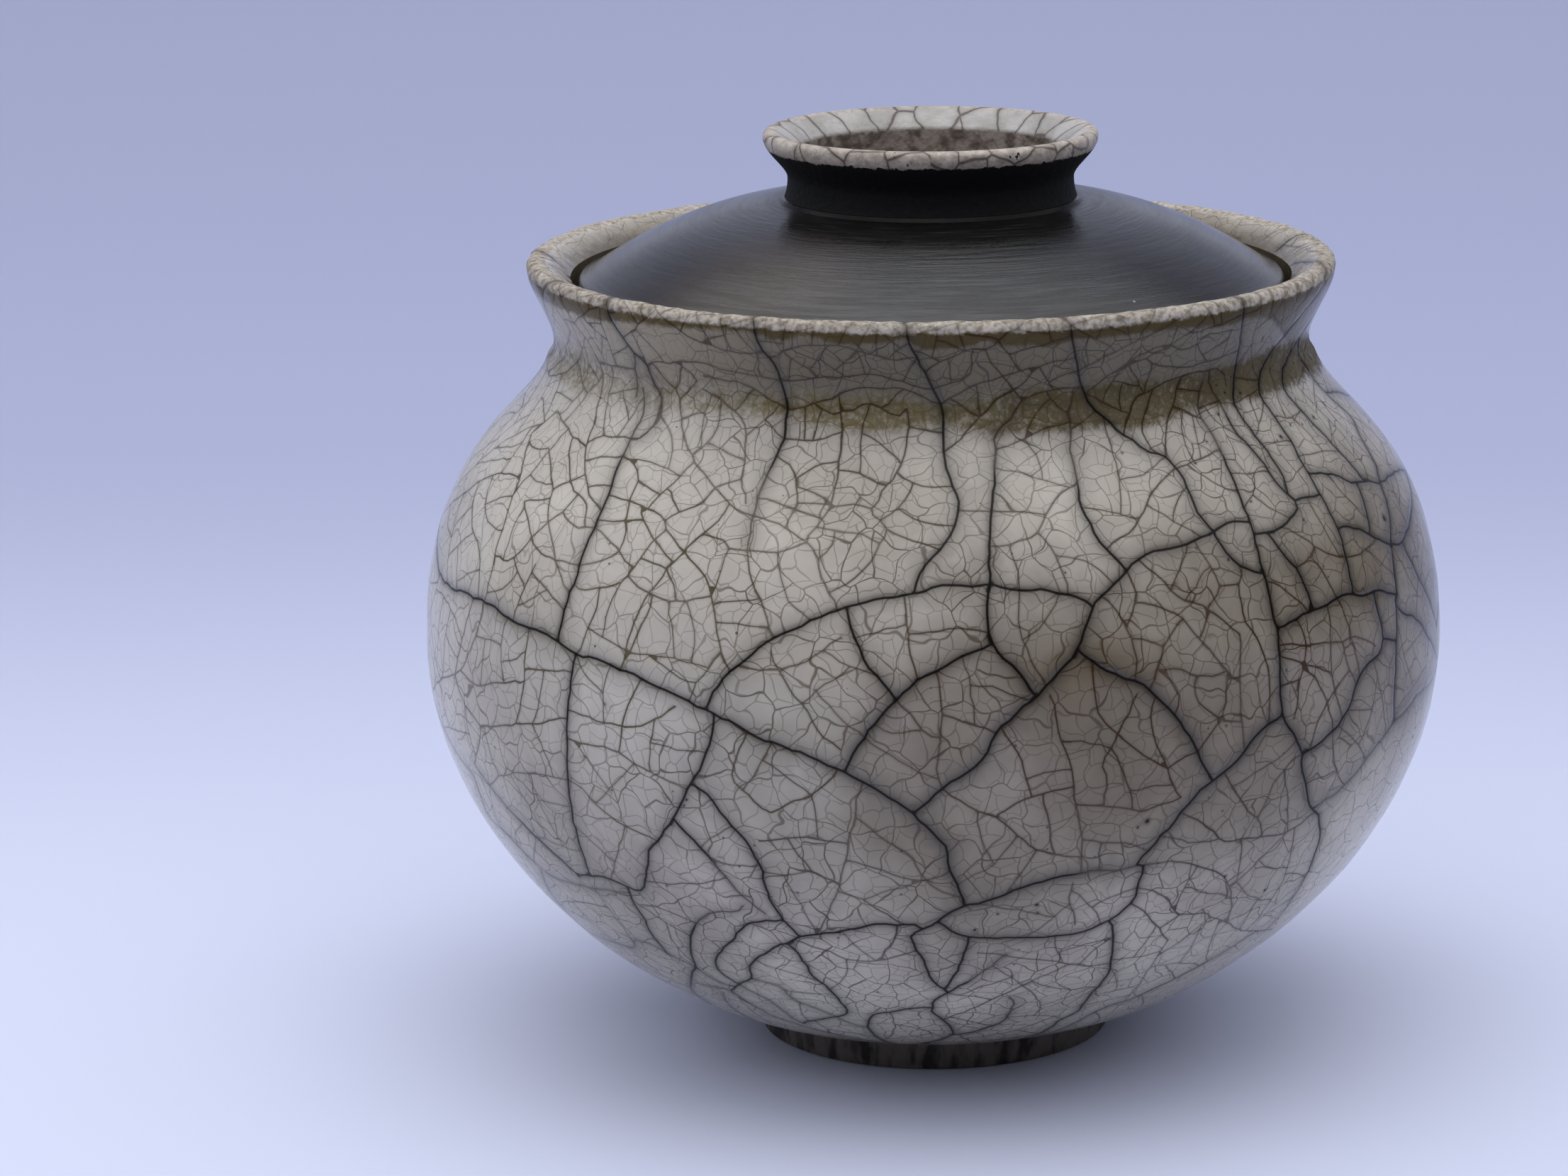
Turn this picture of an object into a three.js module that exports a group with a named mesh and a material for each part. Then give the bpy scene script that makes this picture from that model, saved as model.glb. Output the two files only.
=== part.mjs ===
// Raku-fired lidded jar: a globular thrown jar on a foot ring, and a domed lid with a hollow collar knob
// that drops into the jar's flared rim. Millimetres, +Z up, the table at z = 0.
import * as THREE from 'three';

// Foot ring, a short band of bare clay under the jar.
const footHeight = 5.3;
const footBottomRadius = 33.0;
const footTopRadius = 33.8;
const footWall = 6.4;
const footEdgeRound = 0.9;

// Jar: heights are measured from the jar's own base, which stands on the foot ring.
const bellyRadius = 95.0;
const bellyHeight = 71.4;
const baseRun = 23.2;
const baseRise = 4.1;
const bellyLowerPull = 38.4;
const bellyUpperPull = 36.4;
const bellyWall = 6.2;
const floorThickness = 7.0;
const innerFloorRadius = 30.0;

// Neck and flared collar: the shoulder runs into a soft waist, and the collar leans out to the rim.
const shoulderPullOut = 4.0;
const shoulderPullDown = 11.2;
const neckRadius = 70.0;
const neckFilletDepth = 2.9;
const neckFilletReach = 1.3;
const neckHeight = 127.2;
const collarHeight = 13.5;
const collarFlare = 4.8;
const collarPullUp = 4.5;
const collarPullDown = 3.4;
const collarWall = 8.2;
const lipCrownHeight = 2.0;
const lipCrownInset = 1.9;

// Gallery: the ledge inside the collar that carries the lid, and the throat below it.
const galleryMouthDrop = 3.8;
const galleryDepth = 10.0;
const ledgeWidth = 6.1;
const throatHeight = 5.0;
const throatPullDown = 12.0;
const throatPullOut = 4.0;

// Lid: it rests on the ledge with the seat gap and keeps the fitting clearance to the gallery wall.
const lidClearance = 1.2;
const seatGap = 0.3;
const lidEdgeThickness = 6.1;
const lidEdgeRound = 1.6;
const lidRise = 13.4;
const lidBulge = 2.8;
const lidRimWidth = 9.0;
const lidCrownThickness = 6.3;
const lidHollowRadius = 22.0;

// Knob: a collar thrown on the lid's crown, waisted outside, with a funnel mouth over a straight well.
const knobBaseRadius = 27.3;
const knobHeight = 13.0;
const knobWaist = 0.9;
const knobWaistHeight = 4.2;
const knobFlare = 3.6;
const knobPullUp = 2.3;
const knobPullIn = 1.2;
const knobPullDown = 1.3;
const knobCrownHeight = 1.3;
const knobCrownInset = 1.4;
const wellWall = 2.9;
const wellTaper = 0.6;
const funnelDepth = 3.4;

// Turned steps round the axis and steps along each curve of a profile.
const turnSteps = 64;
const bellySteps = 9;
const shortCurveSteps = 4;
const roundSteps = 3;
const filletSteps = 2;
const domeSteps = 7;

// Places that several pieces share.
const baseZ = footHeight;
const rimRadius = neckRadius + collarFlare;
const galleryRadius = rimRadius - collarWall;
const neckZ = baseZ + neckHeight;
const rimShoulderZ = neckZ + collarHeight;
const rimTopZ = rimShoulderZ + lipCrownHeight;
const ledgeZ = rimTopZ - galleryDepth;
const throatRadius = galleryRadius - ledgeWidth;
const lidRadius = galleryRadius - lidClearance;
const lidBottomZ = ledgeZ + seatGap;
const lidEdgeZ = lidBottomZ + lidEdgeThickness;
const crownZ = lidEdgeZ + lidRise;

const at = (radius, height) => new THREE.Vector2(radius, height);
const cubic = (a, b, c, d) => new THREE.CubicBezierCurve(a, b, c, d);
const quadratic = (a, b, c) => new THREE.QuadraticBezierCurve(a, b, c);

// Joins points and curves into one profile: a curve gives its points after the first, at its own steps.
function profile(...parts) {
  const points = [];
  for (const part of parts) {
    if (part.isVector2) points.push(part);
    else points.push(...part.curve.getPoints(part.steps).slice(1));
  }
  return points;
}

// One turned piece: the profile is turned about the axis, then stood up so that its height is +Z.
function turned(name, points, colour, roughness) {
  const geometry = new THREE.LatheGeometry(points, turnSteps);
  geometry.rotateX(Math.PI / 2);
  const material = new THREE.MeshStandardMaterial({ color: colour, roughness, metalness: 0 });
  const mesh = new THREE.Mesh(geometry, material);
  mesh.name = name;
  return mesh;
}

// A ring with a bevelled standing edge, luted to the jar's flat underside by its whole top face.
function footRing() {
  const innerRadius = footBottomRadius - footWall;
  const start = at(innerRadius, baseZ);
  return turned('foot_ring', profile(
    start,
    at(innerRadius, footEdgeRound),
    at(innerRadius + footEdgeRound, 0),
    at(footBottomRadius - footEdgeRound, 0),
    at(footBottomRadius, footEdgeRound),
    at(footTopRadius, baseZ),
    start.clone(),
  ), '#3a332e', 0.85);
}

// The jar's wall in one profile: out from the base, up to the lip, over it, and down inside to the floor.
function jarBody() {
  const bellyZ = baseZ + bellyHeight;
  const floorZ = baseZ + floorThickness;
  const innerBelly = bellyRadius - bellyWall;
  const neckFoot = at(neckRadius + neckFilletReach, neckZ - neckFilletDepth);
  const neckWaist = at(neckRadius, neckZ);
  const belly = at(bellyRadius, bellyZ);
  const baseEdge = at(footTopRadius, baseZ);
  const rimEdge = at(rimRadius, rimShoulderZ);
  const lipTop = at(rimRadius - lipCrownInset, rimTopZ);
  const galleryMouth = at(galleryRadius, rimTopZ - galleryMouthDrop);
  const throatBottom = at(throatRadius, ledgeZ - throatHeight);
  const innerWall = at(innerBelly, bellyZ);
  const innerFloor = at(innerFloorRadius, floorZ);
  return turned('jar_body', profile(
    at(0, baseZ),
    baseEdge,
    { steps: bellySteps, curve: cubic(
      baseEdge,
      at(footTopRadius + baseRun, baseZ + baseRise),
      at(bellyRadius, bellyZ - bellyLowerPull),
      belly,
    ) },
    { steps: bellySteps, curve: cubic(
      belly,
      at(bellyRadius, bellyZ + bellyUpperPull),
      at(neckFoot.x + shoulderPullOut, neckFoot.y - shoulderPullDown),
      neckFoot,
    ) },
    { steps: filletSteps, curve: quadratic(neckFoot, at(neckRadius, neckZ - neckFilletDepth / 2), neckWaist) },
    { steps: shortCurveSteps, curve: cubic(
      neckWaist,
      at(neckRadius, neckZ + collarPullUp),
      at(rimRadius, rimShoulderZ - collarPullDown),
      rimEdge,
    ) },
    { steps: roundSteps, curve: quadratic(rimEdge, at(rimRadius, rimTopZ), lipTop) },
    { steps: shortCurveSteps, curve: cubic(
      lipTop,
      at(lipTop.x - lipCrownInset, rimTopZ),
      at(galleryMouth.x + lipCrownHeight, galleryMouth.y + lipCrownHeight),
      galleryMouth,
    ) },
    at(galleryRadius, ledgeZ),
    at(throatRadius, ledgeZ),
    throatBottom,
    { steps: bellySteps, curve: cubic(
      throatBottom,
      at(throatRadius + throatPullOut, throatBottom.y - throatPullDown),
      at(innerBelly, bellyZ + bellyUpperPull - bellyWall),
      innerWall,
    ) },
    { steps: bellySteps, curve: cubic(
      innerWall,
      at(innerBelly, bellyZ - bellyLowerPull + bellyWall),
      at(innerFloorRadius + baseRun, floorZ + baseRise),
      innerFloor,
    ) },
    at(0, floorZ),
  ), '#b5b1aa', 0.25);
}

// A domed disc, hollowed underneath inside a flat rim that sits on the ledge. Its crown is flat inside the knob.
function lid() {
  const crownEdge = at(knobBaseRadius, crownZ);
  const domeEnd = at(lidRadius - lidEdgeRound, lidEdgeZ);
  const domePull = at((crownEdge.x + domeEnd.x) / 2, (crownEdge.y + domeEnd.y) / 2 + 2 * lidBulge);
  const edgeEnd = at(lidRadius, lidEdgeZ - lidEdgeRound);
  const rimInner = at(lidRadius - lidRimWidth, lidBottomZ);
  const hollowZ = crownZ - lidCrownThickness;
  const hollowTop = at(lidHollowRadius, hollowZ);
  const hollowPull = at((rimInner.x + hollowTop.x) / 2, hollowZ);
  return turned('lid', profile(
    at(0, hollowZ),
    hollowTop,
    { steps: domeSteps, curve: quadratic(hollowTop, hollowPull, rimInner) },
    at(lidRadius - lidEdgeRound, lidBottomZ),
    at(lidRadius, lidBottomZ + lidEdgeRound),
    edgeEnd,
    { steps: roundSteps, curve: quadratic(edgeEnd, at(lidRadius, lidEdgeZ), domeEnd) },
    { steps: domeSteps, curve: quadratic(domeEnd, domePull, crownEdge) },
    at(0, crownZ),
  ), '#26252a', 0.4);
}

// A short waisted tube with a flared, rolled mouth; the funnel inside breaks at an edge into the well.
function knob() {
  const waistRadius = knobBaseRadius - knobWaist;
  const mouthRadius = knobBaseRadius + knobFlare;
  const topZ = crownZ + knobHeight;
  const wellRadius = knobBaseRadius - wellWall;
  const start = at(wellRadius - wellTaper, crownZ);
  const base = at(knobBaseRadius, crownZ);
  const waist = at(waistRadius, crownZ + knobWaistHeight);
  const mouthEdge = at(mouthRadius, topZ - knobCrownHeight);
  const mouthTop = at(mouthRadius - knobCrownInset, topZ);
  const wellEdge = at(wellRadius, topZ - funnelDepth);
  return turned('knob', profile(
    start,
    base,
    { steps: shortCurveSteps, curve: quadratic(base, at(waistRadius, crownZ + knobWaistHeight / 2), waist) },
    { steps: shortCurveSteps, curve: cubic(
      waist,
      at(waistRadius, waist.y + knobPullUp),
      at(mouthRadius - knobPullIn, mouthEdge.y - knobPullDown),
      mouthEdge,
    ) },
    { steps: roundSteps, curve: quadratic(mouthEdge, at(mouthRadius, topZ), mouthTop) },
    { steps: shortCurveSteps, curve: quadratic(
      mouthTop,
      at(mouthTop.x - knobCrownInset, topZ),
      wellEdge,
    ) },
    start.clone(),
  ), '#17161a', 0.55);
}

const jar = new THREE.Group();
jar.add(footRing(), jarBody());

const cover = new THREE.Group();
cover.add(lid(), knob());

const rakuJar = new THREE.Group();
rakuJar.add(jar, cover);

export default rakuJar;
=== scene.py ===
import math
import random

import bpy
import numpy as np
from mathutils import Matrix, Vector, noise
from mathutils.bvhtree import BVHTree
from mathutils.geometry import delaunay_2d_cdt
from mathutils.kdtree import KDTree


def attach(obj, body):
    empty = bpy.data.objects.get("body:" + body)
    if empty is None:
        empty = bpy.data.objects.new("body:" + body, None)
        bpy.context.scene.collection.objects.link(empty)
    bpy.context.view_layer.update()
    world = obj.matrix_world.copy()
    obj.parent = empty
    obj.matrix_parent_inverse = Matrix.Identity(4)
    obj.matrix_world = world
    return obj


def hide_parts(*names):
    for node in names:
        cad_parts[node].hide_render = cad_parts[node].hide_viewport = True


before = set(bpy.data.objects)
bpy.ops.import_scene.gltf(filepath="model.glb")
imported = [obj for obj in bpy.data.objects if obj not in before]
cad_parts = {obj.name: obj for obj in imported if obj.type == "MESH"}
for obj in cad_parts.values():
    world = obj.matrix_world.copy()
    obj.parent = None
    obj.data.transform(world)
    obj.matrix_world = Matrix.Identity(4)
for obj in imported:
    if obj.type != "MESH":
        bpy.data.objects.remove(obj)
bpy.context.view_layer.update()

scene = bpy.context.scene
scene.view_settings.view_transform = "Standard"


# Camera. The photo was taken from just above the lid with a long lens, the jar right of the middle.
# It comes first because the cracks below are given in photo pixels and are cast through it.
photo_size = (2212, 1659)
photo_middle = (1316.0, 829.5)
photo_focal = 7430.0
camera_down = 13.12
camera_roll = -0.30
camera_place = (0, -0.9625, 0.3083)
camera_data = bpy.data.cameras.new("camera")
camera_data.sensor_width = 36.0
camera_data.lens = 36.0 * photo_focal / photo_size[0]
camera_data.shift_x = -(photo_middle[0] - photo_size[0] / 2) / photo_size[0]
camera_data.clip_start = 0.05
camera = bpy.data.objects.new("camera", camera_data)
camera_tilt = Matrix.Rotation(math.radians(90 - camera_down), 4, "X")
camera_turn = camera_tilt @ Matrix.Rotation(math.radians(camera_roll), 4, "Z")
camera.matrix_world = Matrix.Translation(camera_place) @ camera_turn
scene.collection.objects.link(camera)
scene.camera = camera


# Jar body. A thrown stoneware globe with a short flared collar, raku glazed: white crackle glaze, its
# cracks blackened by smoke. Turned on the wheel in one piece; the lid drops into a gallery in the lip.
# Every crack is an edge of the mesh, so the smoke's black runs along real lines in the surface.
jar_outer_steps = [
    ("cubic", (33.8, 5.3), (57.0, 9.4), (95.0, 38.3), (95.0, 76.7)),
    ("cubic", (95.0, 76.7), (95.0, 113.1), (75.3, 118.4), (71.3, 129.6)),
    ("quad", (71.3, 129.6), (70.0, 131.05), (70.0, 132.5)),
    ("cubic", (70.0, 132.5), (70.0, 137.0), (74.8, 142.6), (74.8, 146.0)),
    ("quad", (74.8, 146.0), (74.8, 148.0), (72.9, 148.0)),
    ("cubic", (72.9, 148.0), (71.0, 148.0), (68.6, 146.2), (66.6, 144.2)),
]
jar_inner_steps = [
    ("line", (66.6, 144.2), (66.6, 138.0)),
    ("line", (66.6, 138.0), (60.5, 138.0)),
    ("line", (60.5, 138.0), (60.5, 133.0)),
    ("cubic", (60.5, 133.0), (64.5, 121.0), (88.8, 106.9), (88.8, 76.7)),
    ("cubic", (88.8, 76.7), (88.8, 44.5), (53.2, 16.4), (30.0, 12.3)),
    ("line", (30.0, 12.3), (0.0, 12.3)),
]
jar_columns = 256
# Cracks, in mm: the step between a crack's points, how far each kind's stain reaches beside it, how near
# it comes before it meets or joins another, and the length of its own line that it doesn't count as near.
crack_step = 1.7
black_reach = 1.8
grey_reach = 1.5
brown_reach = 0.65
grown_reach = 0.6
meet_reach = 1.5
join_reach = 1.8
joined_reach = 1.0
loose_reach = {"black": 2.0, "brown": 0.6}
own_reach = 6.0
grid_cell = 4
# A crack's small wander in mm, and how it bends as it runs: the share of its bend that it keeps at each
# step, the share of its curl that it gains, and the most it may turn in all, in radians.
crack_wander = 0.5
wander_scale = 0.35
bend_kept = 0.97
bend_gained = 0.25
most_bend = 1.3
curve_steps = 12
drawn_steps = 7
# Shares of the spacing that a grown crack keeps clear: ahead of it, from its start, beside its middle and
# along its parent.
clear_ahead = 0.42
clear_start = 0.45
clear_middle = 0.3
clear_parent = 1.2


def profile(steps, pitch):
    """Points (radius, height) in mm along a run of lines and curves, about one pitch apart."""
    points = []
    for kind, *control in steps:
        control = np.array(control)
        length = np.linalg.norm(np.diff(control, axis=0), axis=1).sum()
        t = np.linspace(0, 1, max(2, int(math.ceil(length / pitch)) + 1))[:, None]
        while len(control) > 1:
            control = [(1 - t) * a + t * b for a, b in zip(control[:-1], control[1:])]
        run = control[0]
        points.append(run if not points else run[1:])
    return np.vstack(points)


jar_outer = profile(jar_outer_steps, 0.25)
jar_run = np.linalg.norm(np.diff(jar_outer, axis=0), axis=1)
jar_mid_radius = (jar_outer[1:, 0] + jar_outer[:-1, 0]) / 2
jar_chart = np.concatenate([[0], np.cumsum(jar_run / jar_mid_radius)])
jar_normals = np.gradient(jar_outer, axis=0)
jar_normals = np.stack([jar_normals[:, 1], -jar_normals[:, 0]], axis=1)
jar_normals /= np.linalg.norm(jar_normals, axis=1)[:, None]


def on_jar(turn, height):
    """The point in mm of chart coordinates: the turn from the front, and the conformal height."""
    r = np.interp(height, jar_chart, jar_outer[:, 0])
    z = np.interp(height, jar_chart, jar_outer[:, 1]) + 0 * np.asarray(turn)
    return np.stack([r * np.sin(turn), -r * np.cos(turn), z], axis=-1)


def chart_radius(height):
    """mm on the jar for one unit of the chart at that height."""
    return np.interp(height, jar_chart, jar_outer[:, 0])


cast_columns = 180
cast_rows = 160
cast_turns = np.linspace(0, 2 * math.pi, cast_columns, endpoint=False)
cast_heights = np.linspace(0, jar_chart[-1], cast_rows)
cast_points = on_jar(cast_turns[None, :], cast_heights[:, None]).reshape(-1, 3) * 0.001
cast_faces = []
for row in range(cast_rows - 1):
    for column in range(cast_columns):
        a = row * cast_columns + column
        b = row * cast_columns + (column + 1) % cast_columns
        cast_faces.append((a, b, b + cast_columns, a + cast_columns))
cast_tree = BVHTree.FromPolygons([Vector(p) for p in cast_points], cast_faces)


def photo_to_chart(x, y):
    """Where the photo's pixel lies on the jar, in chart coordinates, or None beside it."""
    ray = Vector(((x - photo_middle[0]) / photo_focal, -(y - photo_middle[1]) / photo_focal, -1.0))
    hit = cast_tree.ray_cast(camera.matrix_world.translation, (camera_turn.to_3x3() @ ray).normalized())[0]
    if hit is None:
        return None
    r = math.hypot(hit.x, hit.y) * 1000
    nearest = np.argmin((jar_outer[:, 0] - r) ** 2 + (jar_outer[:, 1] - hit.z * 1000) ** 2)
    return (math.atan2(hit.x, -hit.y), float(jar_chart[nearest]))


# Each line is one crack, as photo pixels x,y listed along it; a backslash carries a long one on.
black_cracks = """
615,782 620,812 634,828 658,840 682,849 698,861 719,876 741,884 765,894 784,904 810,924 843,932 869,942 \
888,947 915,963 939,975 966,988 999,1005 1034,1021 1060,1035 1087,1047 1114,1057 1138,1065 1162,1077 \
1188,1089 1210,1100 1235,1112 1259,1128 1280,1142 1293,1153 1307,1169 1323,1183 1334,1199 1339,1220 \
1342,1231 1350,1250 1361,1278
857,443 870,464 890,494 908,512 919,534 928,552 931,566 927,587 914,609 903,617
906,547 908,566 903,590 891,614 877,646 864,675 851,710 837,742 825,774 813,809 802,839 794,860 785,898
808,925 804,950 801,982 800,1014 798,1046 800,1078 801,1113 805,1145 813,1180 817,1193 822,1210 830,1231
1007,1013 1003,1035 996,1060 991,1076 981,1094 974,1108 960,1134 950,1157 934,1177 918,1199 914,1204 \
913,1220 909,1242 905,1258 888,1255 876,1248 860,1242 838,1236 820,1236
888,1255 892,1271 901,1287 908,1298 911,1306
790,1213 801,1223 812,1235 820,1238
999,1005 1004,992 1012,974 1028,952 1044,936 1068,915 1092,900 1119,886 1151,872 1186,860 1221,851 \
1256,843 1291,839 1323,828 1355,826 1396,826 1420,829 1447,832 1482,832 1511,837 1530,847 1543,856
1441,567 1425,590 1406,611 1404,622 1404,667 1400,710 1397,753 1397,796 1396,825 1393,863 1395,898 \
1410,925 1428,939 1444,958 1462,983
1763,735 1739,734 1712,750 1677,766 1648,774 1621,781 1592,802 1567,828 1546,852 1535,876 1527,899 \
1518,920 1500,942 1482,963 1462,983 1439,1002 1417,1025 1399,1046 1390,1065 1374,1084 1355,1100 \
1334,1110 1315,1129 1292,1151
1395,905 1374,917 1350,928 1328,942 1301,958 1277,975 1264,988 1248,1007 1229,1027 1213,1049 1200,1067 \
1188,1088
1197,862 1201,880 1205,901 1216,925 1226,944 1245,964 1264,987
1062,456 1065,472 1072,491 1085,507 1096,526 1104,547 1111,571 1109,593 1105,620 1098,635 1082,670 \
1068,705 1060,731 1055,764
1279,459 1283,483 1291,504 1304,526 1315,547 1326,566 1330,585 1331,627 1336,659 1344,686 1354,713 \
1347,742 1334,766 1307,796 1296,812 1292,831
1511,459 1512,480 1519,507 1523,534 1530,555 1540,573 1556,586 1589,614 1616,632 1640,640 1659,659 \
1672,678 1683,705 1696,729 1712,750 1726,774 1747,794 1766,805 1782,809
1508,581 1509,603 1511,640 1518,675 1525,710 1538,740 1557,766 1592,801
1697,541 1692,569 1697,593 1707,606 1723,636 1738,670 1752,703 1764,735 1773,766 1778,790 1785,815 \
1792,847 1801,879 1805,903 1806,926 1807,953 1807,976 1809,995 1812,1011 1822,1027 1833,1048 1838,1060 \
1838,1075 1841,1098 1846,1119 1849,1135 1855,1142 1861,1156 1865,1169 1863,1185 1858,1204 1851,1220
1734,591 1744,609 1762,627 1778,645 1792,666 1810,689 1831,710 1822,730 1808,744 1792,750 1771,754
1831,710 1847,701 1863,696
1756,432 1756,454 1750,487 1746,513 1741,539 1741,563 1751,584 1771,613 1787,633 1801,650 1812,666 1822,689
1785,513 1778,534 1779,558 1794,580 1808,601 1822,622 1833,643 1849,668 1863,695 1875,718 1886,741 \
1895,767 1902,790 1907,813 1911,838
1818,504 1810,530 1813,547 1827,567 1848,591 1872,615
1850,668 1874,667 1895,672 1911,680 1930,678 1948,679 1962,670
1886,741 1902,740 1918,746 1934,754 1950,763 1969,767 1980,762 1989,744 1993,718
1915,682 1923,702 1930,725 1934,755
1879,560 1907,585 1918,608 1932,636 1941,652 1948,679 1957,707 1962,734 1964,764 1967,794 1971,829 \
1971,856 1971,914 1970,949 1969,972
1980,764 1989,785 2001,810 2012,833 2021,858 2028,881
1803,884 1829,874 1856,860 1872,854 1890,843 1911,839 1932,839 1941,834 1955,837 1970,843
1971,858 1985,869 1998,871 2012,891 2024,914
1792,753 1806,773 1819,792 1832,804 1842,824 1851,842 1858,858
1518,920 1541,934 1567,948 1586,958 1608,964 1626,978 1642,992 1659,1011 1675,1033 1687,1051 1693,1070 \
1704,1089 1712,1101
1812,1011 1799,1021 1782,1033 1766,1048 1753,1064 1737,1080 1723,1093 1711,1103 1696,1116 1680,1132 \
1661,1153 1640,1181 1624,1197 1610,1211 1604,1221
1938,839 1946,872 1952,897 1947,919 1930,937 1918,956 1912,972 1909,988 1902,1005 1888,1025 1874,1038 \
1863,1048 1849,1053 1838,1060
1952,897 1970,912
976,1108 990,1118 1004,1132 1025,1159 1044,1180 1058,1199 1071,1220 1076,1239 1082,1260 1090,1279 \
1101,1297 1117,1311 1127,1323
950,1160 971,1180 985,1196 1002,1211 1015,1228 1028,1244 1044,1263 1060,1275 1078,1290
1127,1323 1154,1318 1184,1318 1210,1310 1237,1305 1269,1305 1291,1306 1305,1312 1324,1299 1342,1287 \
1362,1279 1382,1275 1404,1267 1434,1256 1466,1246 1498,1238 1541,1230 1578,1228 1602,1223 1626,1220
1127,1323 1114,1331 1092,1339 1074,1350 1056,1365 1060,1380 1047,1388 1031,1398
1106,1303 1082,1303 1058,1305 1044,1314 1034,1327 1018,1342 1012,1351 1011,1365 1020,1377 1040,1389
1047,1280 1036,1286 1010,1287 991,1295 978,1311 972,1330 975,1346 980,1362 975,1380
1113,1333 1126,1346 1138,1365 1151,1381 1170,1397 1184,1413 1194,1426 1192,1432 1176,1436 1154,1440 \
1133,1446
1305,1312 1293,1319 1288,1325 1292,1341 1301,1354 1308,1370 1320,1389 1338,1401 1323,1410 1316,1417 \
1316,1429 1328,1440 1340,1451 1344,1461 1318,1471
1610,1224 1608,1242 1601,1266 1589,1283 1574,1295 1554,1306 1525,1317 1501,1321 1474,1323 1444,1324 \
1415,1326 1400,1325 1371,1322 1352,1317 1336,1307 1324,1300
1368,1323 1363,1341
1563,1303 1571,1317 1570,1338 1567,1362 1559,1381 1541,1402 1530,1418 1519,1430 1492,1444 1474,1456 \
1458,1467
1424,1408 1430,1417 1423,1434 1412,1444 1396,1451 1365,1459 1344,1461
1338,1401 1352,1393 1363,1388
1315,1422 1288,1424 1261,1428 1237,1432 1226,1438 1225,1451 1234,1463 1250,1472
"""
grey_cracks = """
2014,969 2001,979 1987,999 1971,1013 1955,1034 1936,1059 1920,1082 1902,1104 1884,1121 1870,1129 1855,1141
650,1073 668,1100 687,1151 709,1172 736,1201 758,1223 774,1235 790,1244 814,1250
766,1242 777,1263 793,1282 811,1300
865,1331 893,1338 894,1327 919,1334 943,1347 964,1358 986,1370 1012,1384 1034,1390
991,1389 1012,1393 1028,1398 1042,1406 1058,1417
1020,1400 1026,1416 1034,1425
1063,1381 1084,1388 1105,1394 1114,1406 1135,1418 1157,1426 1180,1436 1194,1444 1222,1452
1044,1392 1068,1404 1087,1414 1103,1426 1114,1437 1130,1446
1034,1400 1052,1413 1071,1425 1095,1437 1122,1446
1522,1442 1541,1432 1567,1421 1594,1413 1621,1400
896,504 896,530 896,558
"""
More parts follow.
